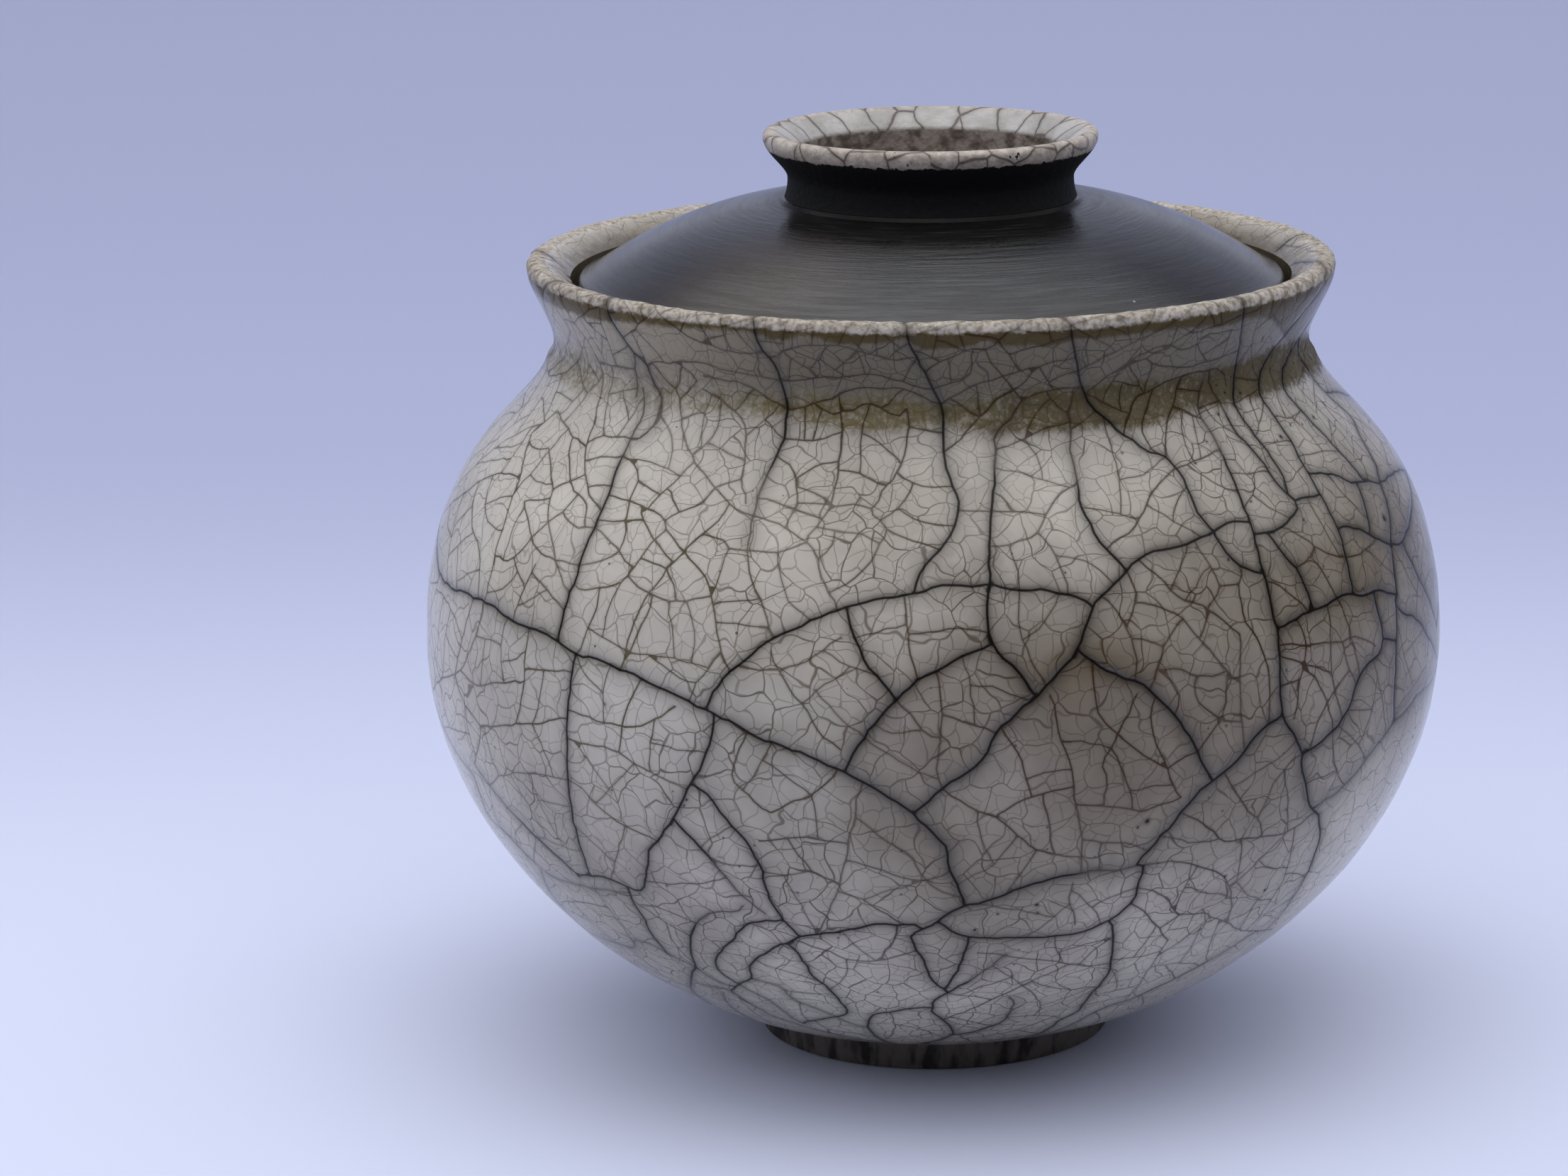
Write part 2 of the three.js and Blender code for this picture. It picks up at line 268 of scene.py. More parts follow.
brown_cracks = """
1055,764 1055,790 1063,822 1074,847 1087,879 1095,895
1183,587 1188,614 1184,651 1176,689 1167,718 1154,739 1138,761 1151,782 1159,809 1170,831 1181,849 1186,860
1279,576 1283,600 1279,627 1272,654 1259,675 1245,691 1237,710 1228,722 1251,745 1240,764 1234,782 \
1213,806 1192,820 1171,828
958,562 959,592 966,622 979,651
1017,563 1015,585 1013,601 1002,620 980,640
1022,562 1034,573 1051,595 1050,627 1047,667 1051,710
980,654 1007,686 1031,710 1060,721
980,761 1017,731 1031,710
980,713 991,705 1009,686 1044,670
980,796 996,817 1004,844 1007,868 1015,900 1018,915 1031,942
1055,778 1098,776 1135,761
1020,761 1031,772 1055,778
1063,729 1109,742 1125,753 1138,761
1071,701 1092,705 1119,721 1154,735
1098,640 1117,659 1125,686 1125,710 1111,742
1125,670 1151,656 1184,650
1125,682 1146,691 1169,709
1125,709 1167,713 1202,714 1228,722
1185,660 1210,667 1248,687
1264,670 1283,682 1312,685 1340,682
1283,682 1277,705 1268,715 1245,734
1268,715 1293,731 1323,737 1347,738
1251,745 1288,761 1323,777
1153,742 1189,749 1216,749 1240,761
1178,747 1173,772 1157,790
1354,715 1400,717
980,844 1003,840
786,579 754,606 746,619 733,667 714,726 700,769 687,828 682,847 674,876 663,912 650,942 640,952 620,960
655,880 647,915 640,947
928,560 931,581 920,600 909,614 893,618
829,624 848,616 869,614 891,616
840,587 829,622 825,648 825,678 832,702 845,715
825,646 848,643 877,645
828,689 843,685 860,684
880,646 896,659 899,678 888,701
861,693 888,702 912,714 934,731 939,748 952,761 966,776 982,796
979,652 960,670 942,686 923,702 912,714
899,682 912,687 924,698
936,734 963,721 990,710 1000,699
939,687 952,702 963,718
901,710 904,731 915,750 922,760
888,702 881,734 880,758 872,777
843,737 864,737 883,735 901,734
837,750 856,761 871,774 880,790 891,798
822,792 848,792 872,780
939,749 920,764 901,788 883,812 872,823 845,829
1000,745 982,761 963,778 944,798 926,823 915,836
901,789 923,797 939,805
885,810 901,828 926,841 947,849 968,847 980,844
808,829 824,835 845,831
844,831 840,855 832,879 822,901 813,923
924,843 918,863 904,884 888,912 869,936
942,806 955,828 960,848
773,632 777,667 778,689 772,710 772,734 776,758 786,796 794,820 802,828
746,619 751,630 773,632
786,579 802,606 818,623 826,627
802,608 778,632 751,667 738,678 722,702
777,689 802,679
802,640 802,667 808,689 821,705 826,721 824,742
813,699 792,721 773,734
789,723 808,739 834,742
738,707 770,707
735,705 741,731 749,758 762,780 784,797
773,734 749,758 733,777 717,788 700,782
722,785 727,806 738,823
754,796 746,814 733,844 725,876
751,813 768,831 792,855
773,798 808,793
666,750 674,774 676,804 674,836
626,721 655,694 682,675
1715,630 1680,651 1660,659 1637,680 1621,705 1608,729 1597,746 1573,761 1565,768
1519,685 1500,693 1487,710 1474,731 1464,750 1447,760 1420,766 1399,765
1400,722 1428,723 1452,723 1472,729
1404,695 1420,705 1430,722
1466,751 1487,777 1500,801 1509,822 1511,836
1613,793 1637,814 1661,839 1680,849 1701,856 1723,872 1750,895
1685,769 1701,793 1717,814 1722,831 1707,857 1701,881 1693,900
1589,812 1600,833 1600,855 1592,879
1600,847 1629,853 1656,865 1672,873 1696,900
1555,848 1573,863 1586,881 1597,899 1606,923 1608,958
1750,796 1750,825 1752,849 1758,873 1774,900
1723,826 1750,828
1629,552 1620,573 1616,600 1618,616 1640,639
1666,539 1660,565 1649,586 1643,617 1641,638
1605,560 1595,580 1589,606
1403,566 1387,582 1371,598 1355,620
1808,745 1829,754 1847,764 1861,775 1881,783 1897,786
1856,778 1847,792 1833,801
1858,785 1870,806 1879,831 1884,845
1787,824 1801,825 1815,835 1835,847 1849,861
1902,781 1918,778 1932,771
2003,815 2001,835 2000,870
1872,855 1878,881 1878,914 1879,944 1884,970 1895,1004
1888,847 1900,874 1907,900
1838,880 1846,905 1843,928 1838,951 1833,967 1832,990 1827,1013
1808,922 1840,935 1861,940 1878,943
1808,913 1824,909 1847,911 1868,905 1878,906
1880,914 1895,912 1907,903 1925,901 1941,910
1895,912 1900,935 1907,953 1913,965
1840,952 1856,960 1865,974 1873,990
1903,953 1886,974 1870,995 1858,1018 1849,1045
1810,966 1833,966
1838,1061 1819,1077 1806,1096 1794,1112 1789,1128
1730,1098 1746,1123 1762,1144 1779,1161 1781,1181
1700,1165 1718,1178 1728,1185 1757,1184 1801,1180 1829,1170 1856,1150
1482,982 1488,1000 1492,1027 1500,1051 1510,1078 1514,1110 1519,1134 1526,1161 1527,1201 1526,1230
1543,942 1543,971 1549,998 1562,1022 1577,1035
1605,979 1594,1006 1581,1030 1573,1049 1557,1076 1562,1102 1558,1134
1633,987 1626,1014 1629,1043 1640,1067 1651,1094 1667,1126
1417,1030 1434,1057 1444,1084 1452,1108 1456,1126
1407,1151 1455,1126 1514,1114
1519,1132 1562,1136 1608,1144 1634,1141 1672,1129
1380,1145 1404,1153 1425,1169 1452,1193 1476,1204 1501,1211 1527,1213
1645,1080 1664,1073 1685,1061
1586,1092 1594,1116 1594,1142
1664,883 1645,907 1637,934 1629,968
1602,903 1626,903 1645,905
1685,880 1701,901 1723,931 1736,950 1750,963
1752,904 1752,939 1751,968 1751,1006 1752,1033 1755,1054
1669,944 1688,952 1709,954 1731,947
1731,950 1731,982 1726,1006 1707,1033 1693,1051
1688,955 1685,982 1696,998 1717,1011 1750,1015
1640,940 1659,960 1669,982 1664,1006
1087,920 1098,944 1111,966 1130,992 1146,1017 1162,1041 1186,1057
1047,947 1068,951 1098,946 1130,936 1151,925 1184,901
1279,880 1280,917 1287,947
1280,896 1315,891 1352,889 1392,896
1320,958 1328,982 1328,1014 1326,1046 1321,1078 1331,1105
1269,990 1288,1011 1307,1035 1326,1043
1328,1015 1355,1018 1376,1019 1400,1026
1210,1102 1206,1126 1202,1161 1197,1188 1193,1212 1180,1260 1170,1285
1052,1033 1042,1062 1032,1100 1055,1121 1068,1137 1087,1148
1087,1148 1119,1132 1151,1121 1173,1102 1184,1092
1071,1187 1114,1183 1151,1185 1194,1192
1193,1210 1240,1225 1270,1238 1302,1240 1335,1228
1240,1180 1280,1204 1300,1235 1320,1256 1350,1267
1107,1187 1130,1215 1150,1235 1182,1248
1185,1258 1215,1268 1240,1285 1252,1290
639,952 647,979 660,1003 676,1025 674,1054 668,1078
676,1026 709,1023 741,1021 765,1019 789,1013 800,1011
676,967 706,964 733,962
738,934 738,966 733,992 726,1019
738,943 767,942 800,946
802,1006 826,1010 848,1019 880,1026 904,1023 936,1009 952,998
800,1045 821,1051 848,1055 872,1063 893,1078 923,1094 960,1117
904,966 893,987 880,1014 875,1041 872,1065
802,1101 821,1113 837,1132 859,1151 883,1164 923,1180
1626,1220 1648,1217 1669,1218 1696,1224 1718,1234 1728,1240 1736,1258 1739,1271 1735,1292 1731,1303
1605,1260 1629,1263 1648,1271 1656,1282 1668,1291 1701,1288 1709,1295 1731,1302 1755,1314 1795,1313
1602,1280 1618,1290 1634,1309 1649,1327
1663,1290 1648,1303 1634,1311
1541,1181 1567,1187 1594,1193 1616,1203
1551,1193 1550,1217 1548,1229
1514,1247 1510,1274 1517,1306
1380,1346 1407,1349 1447,1354 1492,1358 1530,1365 1565,1363
1172,1345 1200,1356 1240,1356 1270,1350
1262,1325 1250,1345 1240,1356
1420,1402 1460,1384 1508,1365
1480,1160 1484,1190 1490,1207
"""
collar_cracks = """
1005,488 1029,496 1042,500 1080,499
1088,507 1104,500 1117,492 1141,488 1168,488 1195,491 1222,498 1253,512 1291,510
908,511 919,508 938,511 954,512 975,511 1002,518 1029,526 1050,528 1074,532 1099,539
1107,543 1128,542 1155,535 1190,532 1216,530 1240,528 1254,532 1280,539 1314,544
1111,571 1128,571 1150,565 1179,558 1206,548 1240,548 1267,550 1294,558 1325,571
954,515 970,528 982,540 973,550 958,562
991,531 1024,539 1048,540 1069,552 1088,563 1111,574
940,539 951,550 958,562
991,550 1007,558 1017,563
1152,571 1168,582 1183,587 1184,569 1180,558
1184,569 1187,579 1206,578 1222,571 1240,573 1265,585 1279,576
1304,522 1320,511 1347,503 1371,494 1398,492 1420,470
1315,544 1337,539 1366,531 1371,510 1375,494
1329,569 1350,558 1366,546 1398,536 1433,526 1465,520 1489,512 1519,504
1428,552 1449,539 1468,523
1412,536 1428,552 1441,566 1462,558 1487,548 1524,547
1471,520 1479,534 1488,547
1481,555 1492,571 1508,581 1513,560 1515,547
1530,523 1556,507 1583,494 1610,478 1612,468
1535,555 1567,531 1594,518 1620,504 1655,489
1560,530 1577,521 1595,511 1616,498 1653,485 1677,472 1694,469
1653,485 1668,493 1686,489 1699,478 1716,472 1740,467
1612,517 1634,524 1660,521 1681,518 1714,508
1605,560 1623,550 1647,539 1673,530 1699,524 1716,521 1727,528 1731,543
"""
# Chips and blots where the glaze left bare or smoked clay: photo pixel x,y and radius in mm.
glaze_blots = """
1954,731,1.1 1840,733,0.5 1687,652,0.5 1766,706,0.5 1584,638,0.4 1720,584,0.5 1703,623,0.4 1689,774,0.4
1734,790,0.5 1503,808,0.4 1808,616,0.8 1854,587,0.7 1822,599,0.5 1838,597,0.5 1784,652,0.4 1801,860,0.4
1869,800,0.4 2001,741,0.5 1619,1159,0.9 1606,1167,0.5 1731,1023,0.4 1824,1201,0.8 1994,1041,0.5 1998,1027,0.4
968,1129,0.5 964,1138,0.4 1463,1277,0.6 1463,1289,0.6 1408,1290,0.5 1438,1341,0.3 1730,1238,0.6 1785,1257,0.7
1375,1313,0.6 1125,1260,0.4 1125,1265,0.4 1238,1401,0.4 866,1223,0.6 865,1260,0.6 940,1250,0.5 1287,1321,0.5
1184,1318,0.5 815,1236,1.0 1697,468,0.5 1782,480,0.6 1751,554,0.5 1729,553,0.4 1577,450,0.7 1586,449,0.5
"""

cracks = []
crack_grid = {}


def grid_key(point):
    """The grid's cell of a point in mm."""
    return tuple(int(value // grid_cell) for value in point)


def add_crack(line, kind, reach, weight):
    """Keeps a crack: chart points one step apart, its kind, the mm its stain reaches, its weight."""
    line = np.array(line)
    points = on_jar(line[:, 0], line[:, 1])
    wander = []
    for point in points:
        at = Vector(point) * wander_scale
        wander.append((noise.noise(at), noise.noise(at + Vector((7, 2, 5)))))
    line[1:-1] += np.array(wander)[1:-1] * (crack_wander / chart_radius(line[1:-1, 1]))[:, None]
    points = on_jar(line[:, 0], line[:, 1])
    index = len(cracks)
    cracks.append({"line": line, "points": points, "kind": kind, "reach": reach, "weight": weight})
    for at, point in enumerate(points):
        crack_grid.setdefault(grid_key(point), []).append((point, index, at))


def smooth_line(points, step):
    """A Catmull-Rom curve through chart points, one step in mm apart along the surface."""
    points = np.array(points)
    ends = np.vstack([2 * points[0] - points[1], points, 2 * points[-1] - points[-2]])
    fine = []
    for a, b, c, d in zip(ends[:-3], ends[1:-2], ends[2:-1], ends[3:]):
        t = np.linspace(0, 1, curve_steps, endpoint=False)[:, None]
        bend = (2 * a - 5 * b + 4 * c - d) * t ** 2 + (3 * b - a - 3 * c + d) * t ** 3
        fine.append(0.5 * (2 * b + (c - a) * t + bend))
    fine = np.vstack(fine + [points[-1:]])
    along = np.linalg.norm(np.diff(on_jar(fine[:, 0], fine[:, 1]), axis=0), axis=1)
    along = np.concatenate([[0], np.cumsum(along)])
    count = max(2, int(round(along[-1] / step)) + 1)
    marks = np.linspace(0, along[-1], count)
    return np.stack([np.interp(marks, along, fine[:, k]) for k in (0, 1)], axis=1)


def near_crack(point, within, skip):
    """The nearest kept crack sample within that many mm: (distance, crack, sample), or None."""
    best = None
    key = grid_key(point)
    span = int(within // grid_cell) + 1
    for i in range(-span, span + 1):
        for j in range(-span, span + 1):
            for k in range(-span, span + 1):
                for other, index, at in crack_grid.get((key[0] + i, key[1] + j, key[2] + k), ()):
                    if skip is not None and index == skip[0] and abs(at - skip[1]) * crack_step < skip[2]:
                        continue
                    away = math.dist(point, other)
                    if away < within and (best is None or away < best[0]):
                        best = (away, index, at)
    return best


def drawn_to(line, end, target):
    """The line with its first (0) or last (-1) point moved to a target, its neighbours following less."""
    steps = np.arange(len(line)) if end == 0 else np.arange(len(line))[::-1]
    pull = np.clip(1 - steps / min(drawn_steps, len(line) - 1), 0, 1) ** 1.5
    return line + pull[:, None] * (np.array(target) - line[end])


def traced(text, kind, reach, weight):
    """Casts the listed cracks onto the jar, each end joined to a crack that it all but touches."""
    for row in text.strip().splitlines():
        picked = [photo_to_chart(*map(float, pair.split(","))) for pair in row.split()]
        picked = [p for p in picked if p is not None]
        if len(picked) < 2:
            continue
        line = smooth_line(picked, crack_step)
        for end in (0, -1):
            point = on_jar(line[end, 0], line[end, 1])
            near = near_crack(point, join_reach, None)
            if near:
                line = drawn_to(line, end, cracks[near[1]]["line"][near[2]])
        add_crack(line, kind, reach, weight)


def run_to_crack(rng, place, heading, longest, skip, room, curl):
    """A crack's path from a place until it meets another, or None where it is crowded or runs out first."""
    turn, height = place
    bend = rng.gauss(0, curl)
    first_heading = heading
    path = [(turn, height)]
    gone = 0.0
    while gone < longest:
        step = crack_step / chart_radius(height)
        bend = bend_kept * bend + rng.gauss(0, bend_gained * curl)
        heading += bend * crack_step
        turn += step * math.cos(heading)
        height += step * math.sin(heading)
        gone += crack_step
        if abs(heading - first_heading) > most_bend:
            return None
        if not 0.01 < height < jar_chart[-1] - 0.01:
            return np.array(path) if len(path) > 3 else None
        path.append((turn, height))
        near = near_crack(on_jar(turn, height), max(meet_reach, room * clear_ahead), skip)
        if near and gone < room * clear_start:
            return None
        if near and near[0] < meet_reach:
            other = cracks[near[1]]["line"][near[2]].copy()
            other[0] += 2 * math.pi * round((turn - other[0]) / (2 * math.pi))
            line = drawn_to(np.array(path), -1, other)
            for again in range(2):
                line[1:-1] = 0.25 * line[:-2] + 0.5 * line[1:-1] + 0.25 * line[2:]
            return line
    return None


def run_on(rng, kind, longest, curl):
    """Lets each loose end of the traced cracks run on until it meets another crack."""
    for index in range(len(cracks)):
        crack = cracks[index]
        if crack["kind"] != kind:
            continue
        line = crack["line"]
        for end, before in ((0, min(3, len(line) - 1)), (-1, -min(4, len(line)))):
            own = (index, 0 if end == 0 else len(line) - 1, own_reach)
            if near_crack(on_jar(*line[end]), loose_reach[kind], own):
                continue
            ahead = line[end] - line[before]
            heading = math.atan2(ahead[1], ahead[0])
            path = run_to_crack(rng, line[end], heading, longest, own, 0.0, curl)
            if path is not None and len(path) > 2:
                add_crack(path, kind, crack["reach"], crack["weight"])


def seeded(rng, turns, belly, lean, longest, curl, kind, reach, weight):
    """Long cracks from foot to lip, or to an older crack, on the side that the photo doesn't show."""
    for turn in turns:
        place = (turn, float(np.interp(belly, jar_outer[:, 1], jar_chart)))
        halves = None
        while halves is None:
            heading = math.pi / 2 + rng.gauss(0, lean)
            up = run_to_crack(rng, place, heading, longest, None, 0.0, curl)
            down = run_to_crack(rng, place, heading + math.pi, longest, None, 0.0, curl)
            if up is not None and down is not None:
                halves = (down[::-1], up[1:])
        add_crack(np.vstack(halves), kind, reach, weight)


def grown(rng, tries, spacing, longest, curl, kind, reach, weight, back_only):
    """Grows cracks square from the sides of older ones until they meet another, as glaze does."""
    for attempt in range(tries):
        parent = rng.randrange(len(cracks))
        line = cracks[parent]["line"]
        start = rng.randrange(len(line) - 1)
        ahead = line[start + 1] - line[start]
        heading = math.atan2(ahead[1], ahead[0]) + rng.choice((-1, 1)) * math.pi / 2 + rng.gauss(0, 0.2)
        if back_only and math.cos(line[start][0]) > -0.1:
            continue
        room = spacing(line[start][0], np.interp(line[start][1], jar_chart, jar_outer[:, 1]))
        own = (parent, start, room * clear_parent)
        path = run_to_crack(rng, line[start], heading, longest, own, room, curl)
        if path is None or len(path) < 4:
            continue
        middle = path[len(path) // 3: max(len(path) // 3 + 1, 2 * len(path) // 3)]
        if any(near_crack(on_jar(*p), room * clear_middle, None) for p in middle):
            continue
        if back_only and any(math.cos(p[0]) > 0.25 for p in path):
            continue
        add_crack(path, kind, reach, weight)


def wide_spacing(turn, z):
    """mm between the black cracks of the side that the photo doesn't show."""
    return 30.0


def brown_spacing(turn, z):
    """mm between brown cracks: closest on the collar, then on the left shoulder and the smoked right side."""
    if z > 129:
        return 5.5
    if math.cos(turn) < -0.1:
        return 12.0
    if math.sin(turn) < -0.2 and z > 80:
        return 7.5
    return 8.5 if 0.1 < turn < 1.6 else 10.0


traced(black_cracks, "black", black_reach, weight=1.0)
traced(grey_cracks, "black", grey_reach, weight=0.9)
traced(collar_cracks, "brown", brown_reach, weight=0.95)
traced(brown_cracks, "brown", brown_reach, weight=1.0)
crack_rng = random.Random(7)
seeded(crack_rng, (1.8, 2.4, 2.95, -2.75, -2.2, -1.7), belly=76.0, lean=0.35, longest=400, curl=0.007,
       kind="black", reach=black_reach, weight=1.0)
run_on(crack_rng, "black", longest=90, curl=0.01)
run_on(crack_rng, "brown", longest=30, curl=0.03)
grown(crack_rng, tries=4000, spacing=wide_spacing, longest=90, curl=0.012,
      kind="black", reach=black_reach, weight=1.0, back_only=True)
grown(crack_rng, tries=14000, spacing=brown_spacing, longest=40, curl=0.05,
      kind="brown", reach=grown_reach, weight=0.93, back_only=False)

# The mesh: crack points, rows of points at each side of them, and filler, joined in the chart. A pitch is
# from point to point and a room from a point to any crack, in mm; the seam's pitch is in chart units.
chart_points = []
chart_edges = []
side_points = []
seam_pitch = 0.0005
black_core_reach = 0.6
beside_room = 0.42
blot_room = 0.2
lip_pitch = 0.9
lip_columns = 300
lip_room = 0.3
neck_pitch = 1.1
neck_columns = 260
neck_room = 0.4
filler_pitch = 3.0
filler_room = 1.2
lip_radius = 72.0
neck_radius = 70.0
finest_cells = 8


def chart_index(turn, height):
    """Adds a chart point and returns its number."""
    chart_points.append((turn, height))
    return len(chart_points) - 1


for crack in cracks:
    line = crack["line"].copy()
    line[:, 1] = np.clip(line[:, 1], 0.004, jar_chart[-1] - 0.004)
    crack["points"] = on_jar(line[:, 0], line[:, 1])
    last = None
    before = None
    for turn, height in line:
        lap = math.floor((turn + math.pi) / (2 * math.pi))
        if before and lap != before[0]:
            seam = math.pi if lap > before[0] else -math.pi
            leave = before[0] * 2 * math.pi + seam
            cross = before[2] + (height - before[2]) * (leave - before[1]) / (turn - before[1])
            cross = (math.floor(cross / seam_pitch) + 0.5) * seam_pitch
            here = chart_index(seam, cross)
            chart_edges.append((last, here))
            last = chart_index(-seam, cross)
        place = min(max(turn - lap * 2 * math.pi, -math.pi + 0.002), math.pi - 0.002)
        here = chart_index(place, height)
        if last is not None:
            chart_edges.append((last, here))
        last = here
        before = (lap, turn, height)
    along = np.gradient(line, axis=0)
    along /= np.maximum(1e-9, np.linalg.norm(along, axis=1))[:, None]
    out = np.stack([-along[:, 1], along[:, 0]], axis=1)
    rows = (crack["reach"], black_core_reach) if crack["kind"] == "black" else (crack["reach"],)
    for side in (-1, 1):
        for row in rows:
            beside = line + side * out * (row / chart_radius(line[:, 1]))[:, None]
            beside[:, 0] = (beside[:, 0] + math.pi) % (2 * math.pi) - math.pi
            side_points.extend((tuple(p), beside_room) for p in beside)

blots = []
for item in glaze_blots.split():
    x, y, radius = map(float, item.split(","))
    place = photo_to_chart(x, y)
    if place:
        blots.append((on_jar(*place), radius * 1.5))
        for ring in (0.0, 0.75, 1.5):
            for k in range(1 if ring == 0 else 8):
                angle = k * math.pi / 4 + ring
                step = radius * ring / chart_radius(place[1])
                spot = (place[0] + step * math.cos(angle), place[1] + step * math.sin(angle))
                side_points.append((spot, blot_room))

lip_start = jar_chart[np.argmin(np.hypot(jar_outer[:, 0] - 74.6, jar_outer[:, 1] - 144.5))]
for height in np.arange(lip_start, jar_chart[-1] - 0.008, lip_pitch / lip_radius):
    lip_turns = np.linspace(-math.pi, math.pi, lip_columns)
    side_points.extend(((turn, height), lip_room) for turn in lip_turns)
neck_low, neck_high = np.interp((121.0, 137.0), jar_outer[:, 1], jar_chart)
for height in np.arange(neck_low, neck_high, neck_pitch / neck_radius):
    neck_turns = np.linspace(-math.pi, math.pi, neck_columns)
    side_points.extend(((turn, height), neck_room) for turn in neck_turns)
filler_rng = random.Random(11)
filler_height = 0.02
while filler_height < jar_chart[-1] - 0.02:
    around = chart_radius(filler_height)
    count = int(2 * math.pi * around / filler_pitch)
    for k in range(count):
        turn = -math.pi + (k + filler_rng.random()) * 2 * math.pi / count
        side_points.append(((turn, filler_height + filler_rng.uniform(-1, 1) / around), filler_room))
    filler_height += filler_pitch / around

# A black crack that ends loose on the wall fades there, and goes on as a brown one underneath.
fade_length = 24.0
fade_end = 0.35
segment_start = []
segment_end = []
segment_kind = []
segment_reach = []
segment_weight = []
for number, crack in enumerate(cracks):
    count = len(crack["points"]) - 1
    weights = np.full(count, crack["weight"])
    for end, at, steps in ((0, 0, np.arange(count)), (-1, count, np.arange(count)[::-1])):
        joined = near_crack(crack["points"][end], joined_reach, (number, at, own_reach))
        joined = joined and cracks[joined[1]]["kind"] == "black"
        on_wall = 0.05 < crack["line"][end][1] < jar_chart[-1] - 0.05
        if crack["kind"] == "black" and on_wall and not joined:
            weights = np.minimum(weights, fade_end + steps * crack_step / fade_length)
            segment_start.append(crack["points"][:-1])
            segment_end.append(crack["points"][1:])
            segment_kind += ["brown"] * count
            segment_reach += [brown_reach] * count
            segment_weight += [1.0] * count
    segment_start.append(crack["points"][:-1])
    segment_end.append(crack["points"][1:])
    segment_kind += [crack["kind"]] * count
    segment_reach += [crack["reach"]] * count
    segment_weight.extend(weights)
segment_start = np.vstack(segment_start)
segment_end = np.vstack(segment_end)
segment_tree = KDTree(len(segment_start))
for index, (a, b) in enumerate(zip(segment_start, segment_end)):
    segment_tree.insert((a + b) / 2, index)
segment_tree.balance()


def segment_gaps(points, count):
    """For each point its nearest crack segments and the mm to each, in rows of count."""
    found = np.array([[hit[1] for hit in segment_tree.find_n(p, count)] for p in points])
    a = segment_start[found]
    along = segment_end[found] - a
    from_a = points[:, None, :] - a
    t = np.clip((from_a * along).sum(2) / np.maximum(1e-9, (along ** 2).sum(2)), 0, 1)
    return found, np.linalg.norm(from_a - t[:, :, None] * along, axis=2)


# A side point stays where no crack is too near and no other point is in its half-millimetre cell.
kept_cells = {grid_key(on_jar(turn, height) * finest_cells) for turn, height in chart_points}
side_points = [(p, room) for p, room in side_points
               if abs(p[0]) < math.pi - 0.006 and 0.006 < p[1] < jar_chart[-1] - 0.006]
side_places = np.array([p for p, room in side_points])
side_places = on_jar(side_places[:, 0], side_places[:, 1])
side_gaps = segment_gaps(side_places, 4)[1].min(axis=1)
for ((turn, height), room), point, gap in zip(side_points, side_places, side_gaps):
    key = grid_key(point * finest_cells)
    if gap >= room and key not in kept_cells:
        kept_cells.add(key)
        chart_index(turn, height)

# The chart's four edges, their pitch in chart units, and everything joined into triangles.
border_pitch = 0.018
border_rows = np.arange(0, jar_chart[-1], border_pitch)
border_rows = border_rows[border_rows < jar_chart[-1] - border_pitch / 2]
border_rows = np.concatenate([border_rows, [jar_chart[-1]]])
left_edge = [chart_index(-math.pi, h) for h in border_rows]
right_edge = [chart_index(math.pi, h) for h in border_rows]
column_turns = np.linspace(-math.pi, math.pi, jar_columns + 1)
low_edge = [left_edge[0]] + [chart_index(t, 0.0) for t in column_turns[1:-1]] + [right_edge[0]]
top_edge = [left_edge[-1]] + [chart_index(t, jar_chart[-1]) for t in column_turns[1:-1]] + [right_edge[-1]]
for edge in (left_edge, right_edge, low_edge, top_edge):
    chart_edges.extend(zip(edge[:-1], edge[1:]))
merge_reach = 5e-5
drawn = delaunay_2d_cdt([Vector(p) for p in chart_points], chart_edges, [], 0, merge_reach)
chart = np.array([(p.x, p.y) for p in drawn[0]])
chart_faces = drawn[2]
on_left = np.abs(chart[:, 0] + math.pi) < 1e-4
on_right = np.abs(chart[:, 0] - math.pi) < 1e-4
weld = np.arange(len(chart))
left_seam = sorted(np.nonzero(on_left)[0], key=lambda i: chart[i, 1])
right_seam = sorted(np.nonzero(on_right)[0], key=lambda i: chart[i, 1])
weld[right_seam] = left_seam
jar_points = on_jar(chart[:, 0], chart[:, 1])
jar_faces = [tuple(int(weld[i]) for i in face) for face in chart_faces]

# Inside, floor and underside: plain turned rows whose ends are the mesh's own top and bottom rings.
floor_height = jar_inner_steps[-1][-1][1]
base_height = jar_outer_steps[0][1][1]
base_rings = (26.0, 18.0, 9.0)
inside_pitch = 5.0
top_ring = [int(i) for i in np.nonzero(np.abs(chart[:, 1] - jar_chart[-1]) < 1e-5)[0] if not on_right[i]]
low_ring = [int(i) for i in np.nonzero(np.abs(chart[:, 1]) < 1e-5)[0] if not on_right[i]]
top_ring.sort(key=lambda i: chart[i, 0])
low_ring.sort(key=lambda i: chart[i, 0])
ring_turns = column_turns[:-1]
extra_points = []


def add_ring(r, z):
    """A ring of points at that radius and height in mm, one for each column."""
    first = len(jar_points) + len(extra_points)
    extra_points.extend((r * math.sin(t), -r * math.cos(t), z) for t in ring_turns)
    return list(range(first, first + jar_columns))


def join_rings(faces, lower, upper):
    """Quads between two rings, facing out when upper is above lower on an outside wall."""
    for k in range(len(lower)):
        n = (k + 1) % len(lower)
        faces.append((lower[k], lower[n], upper[n], upper[k]))


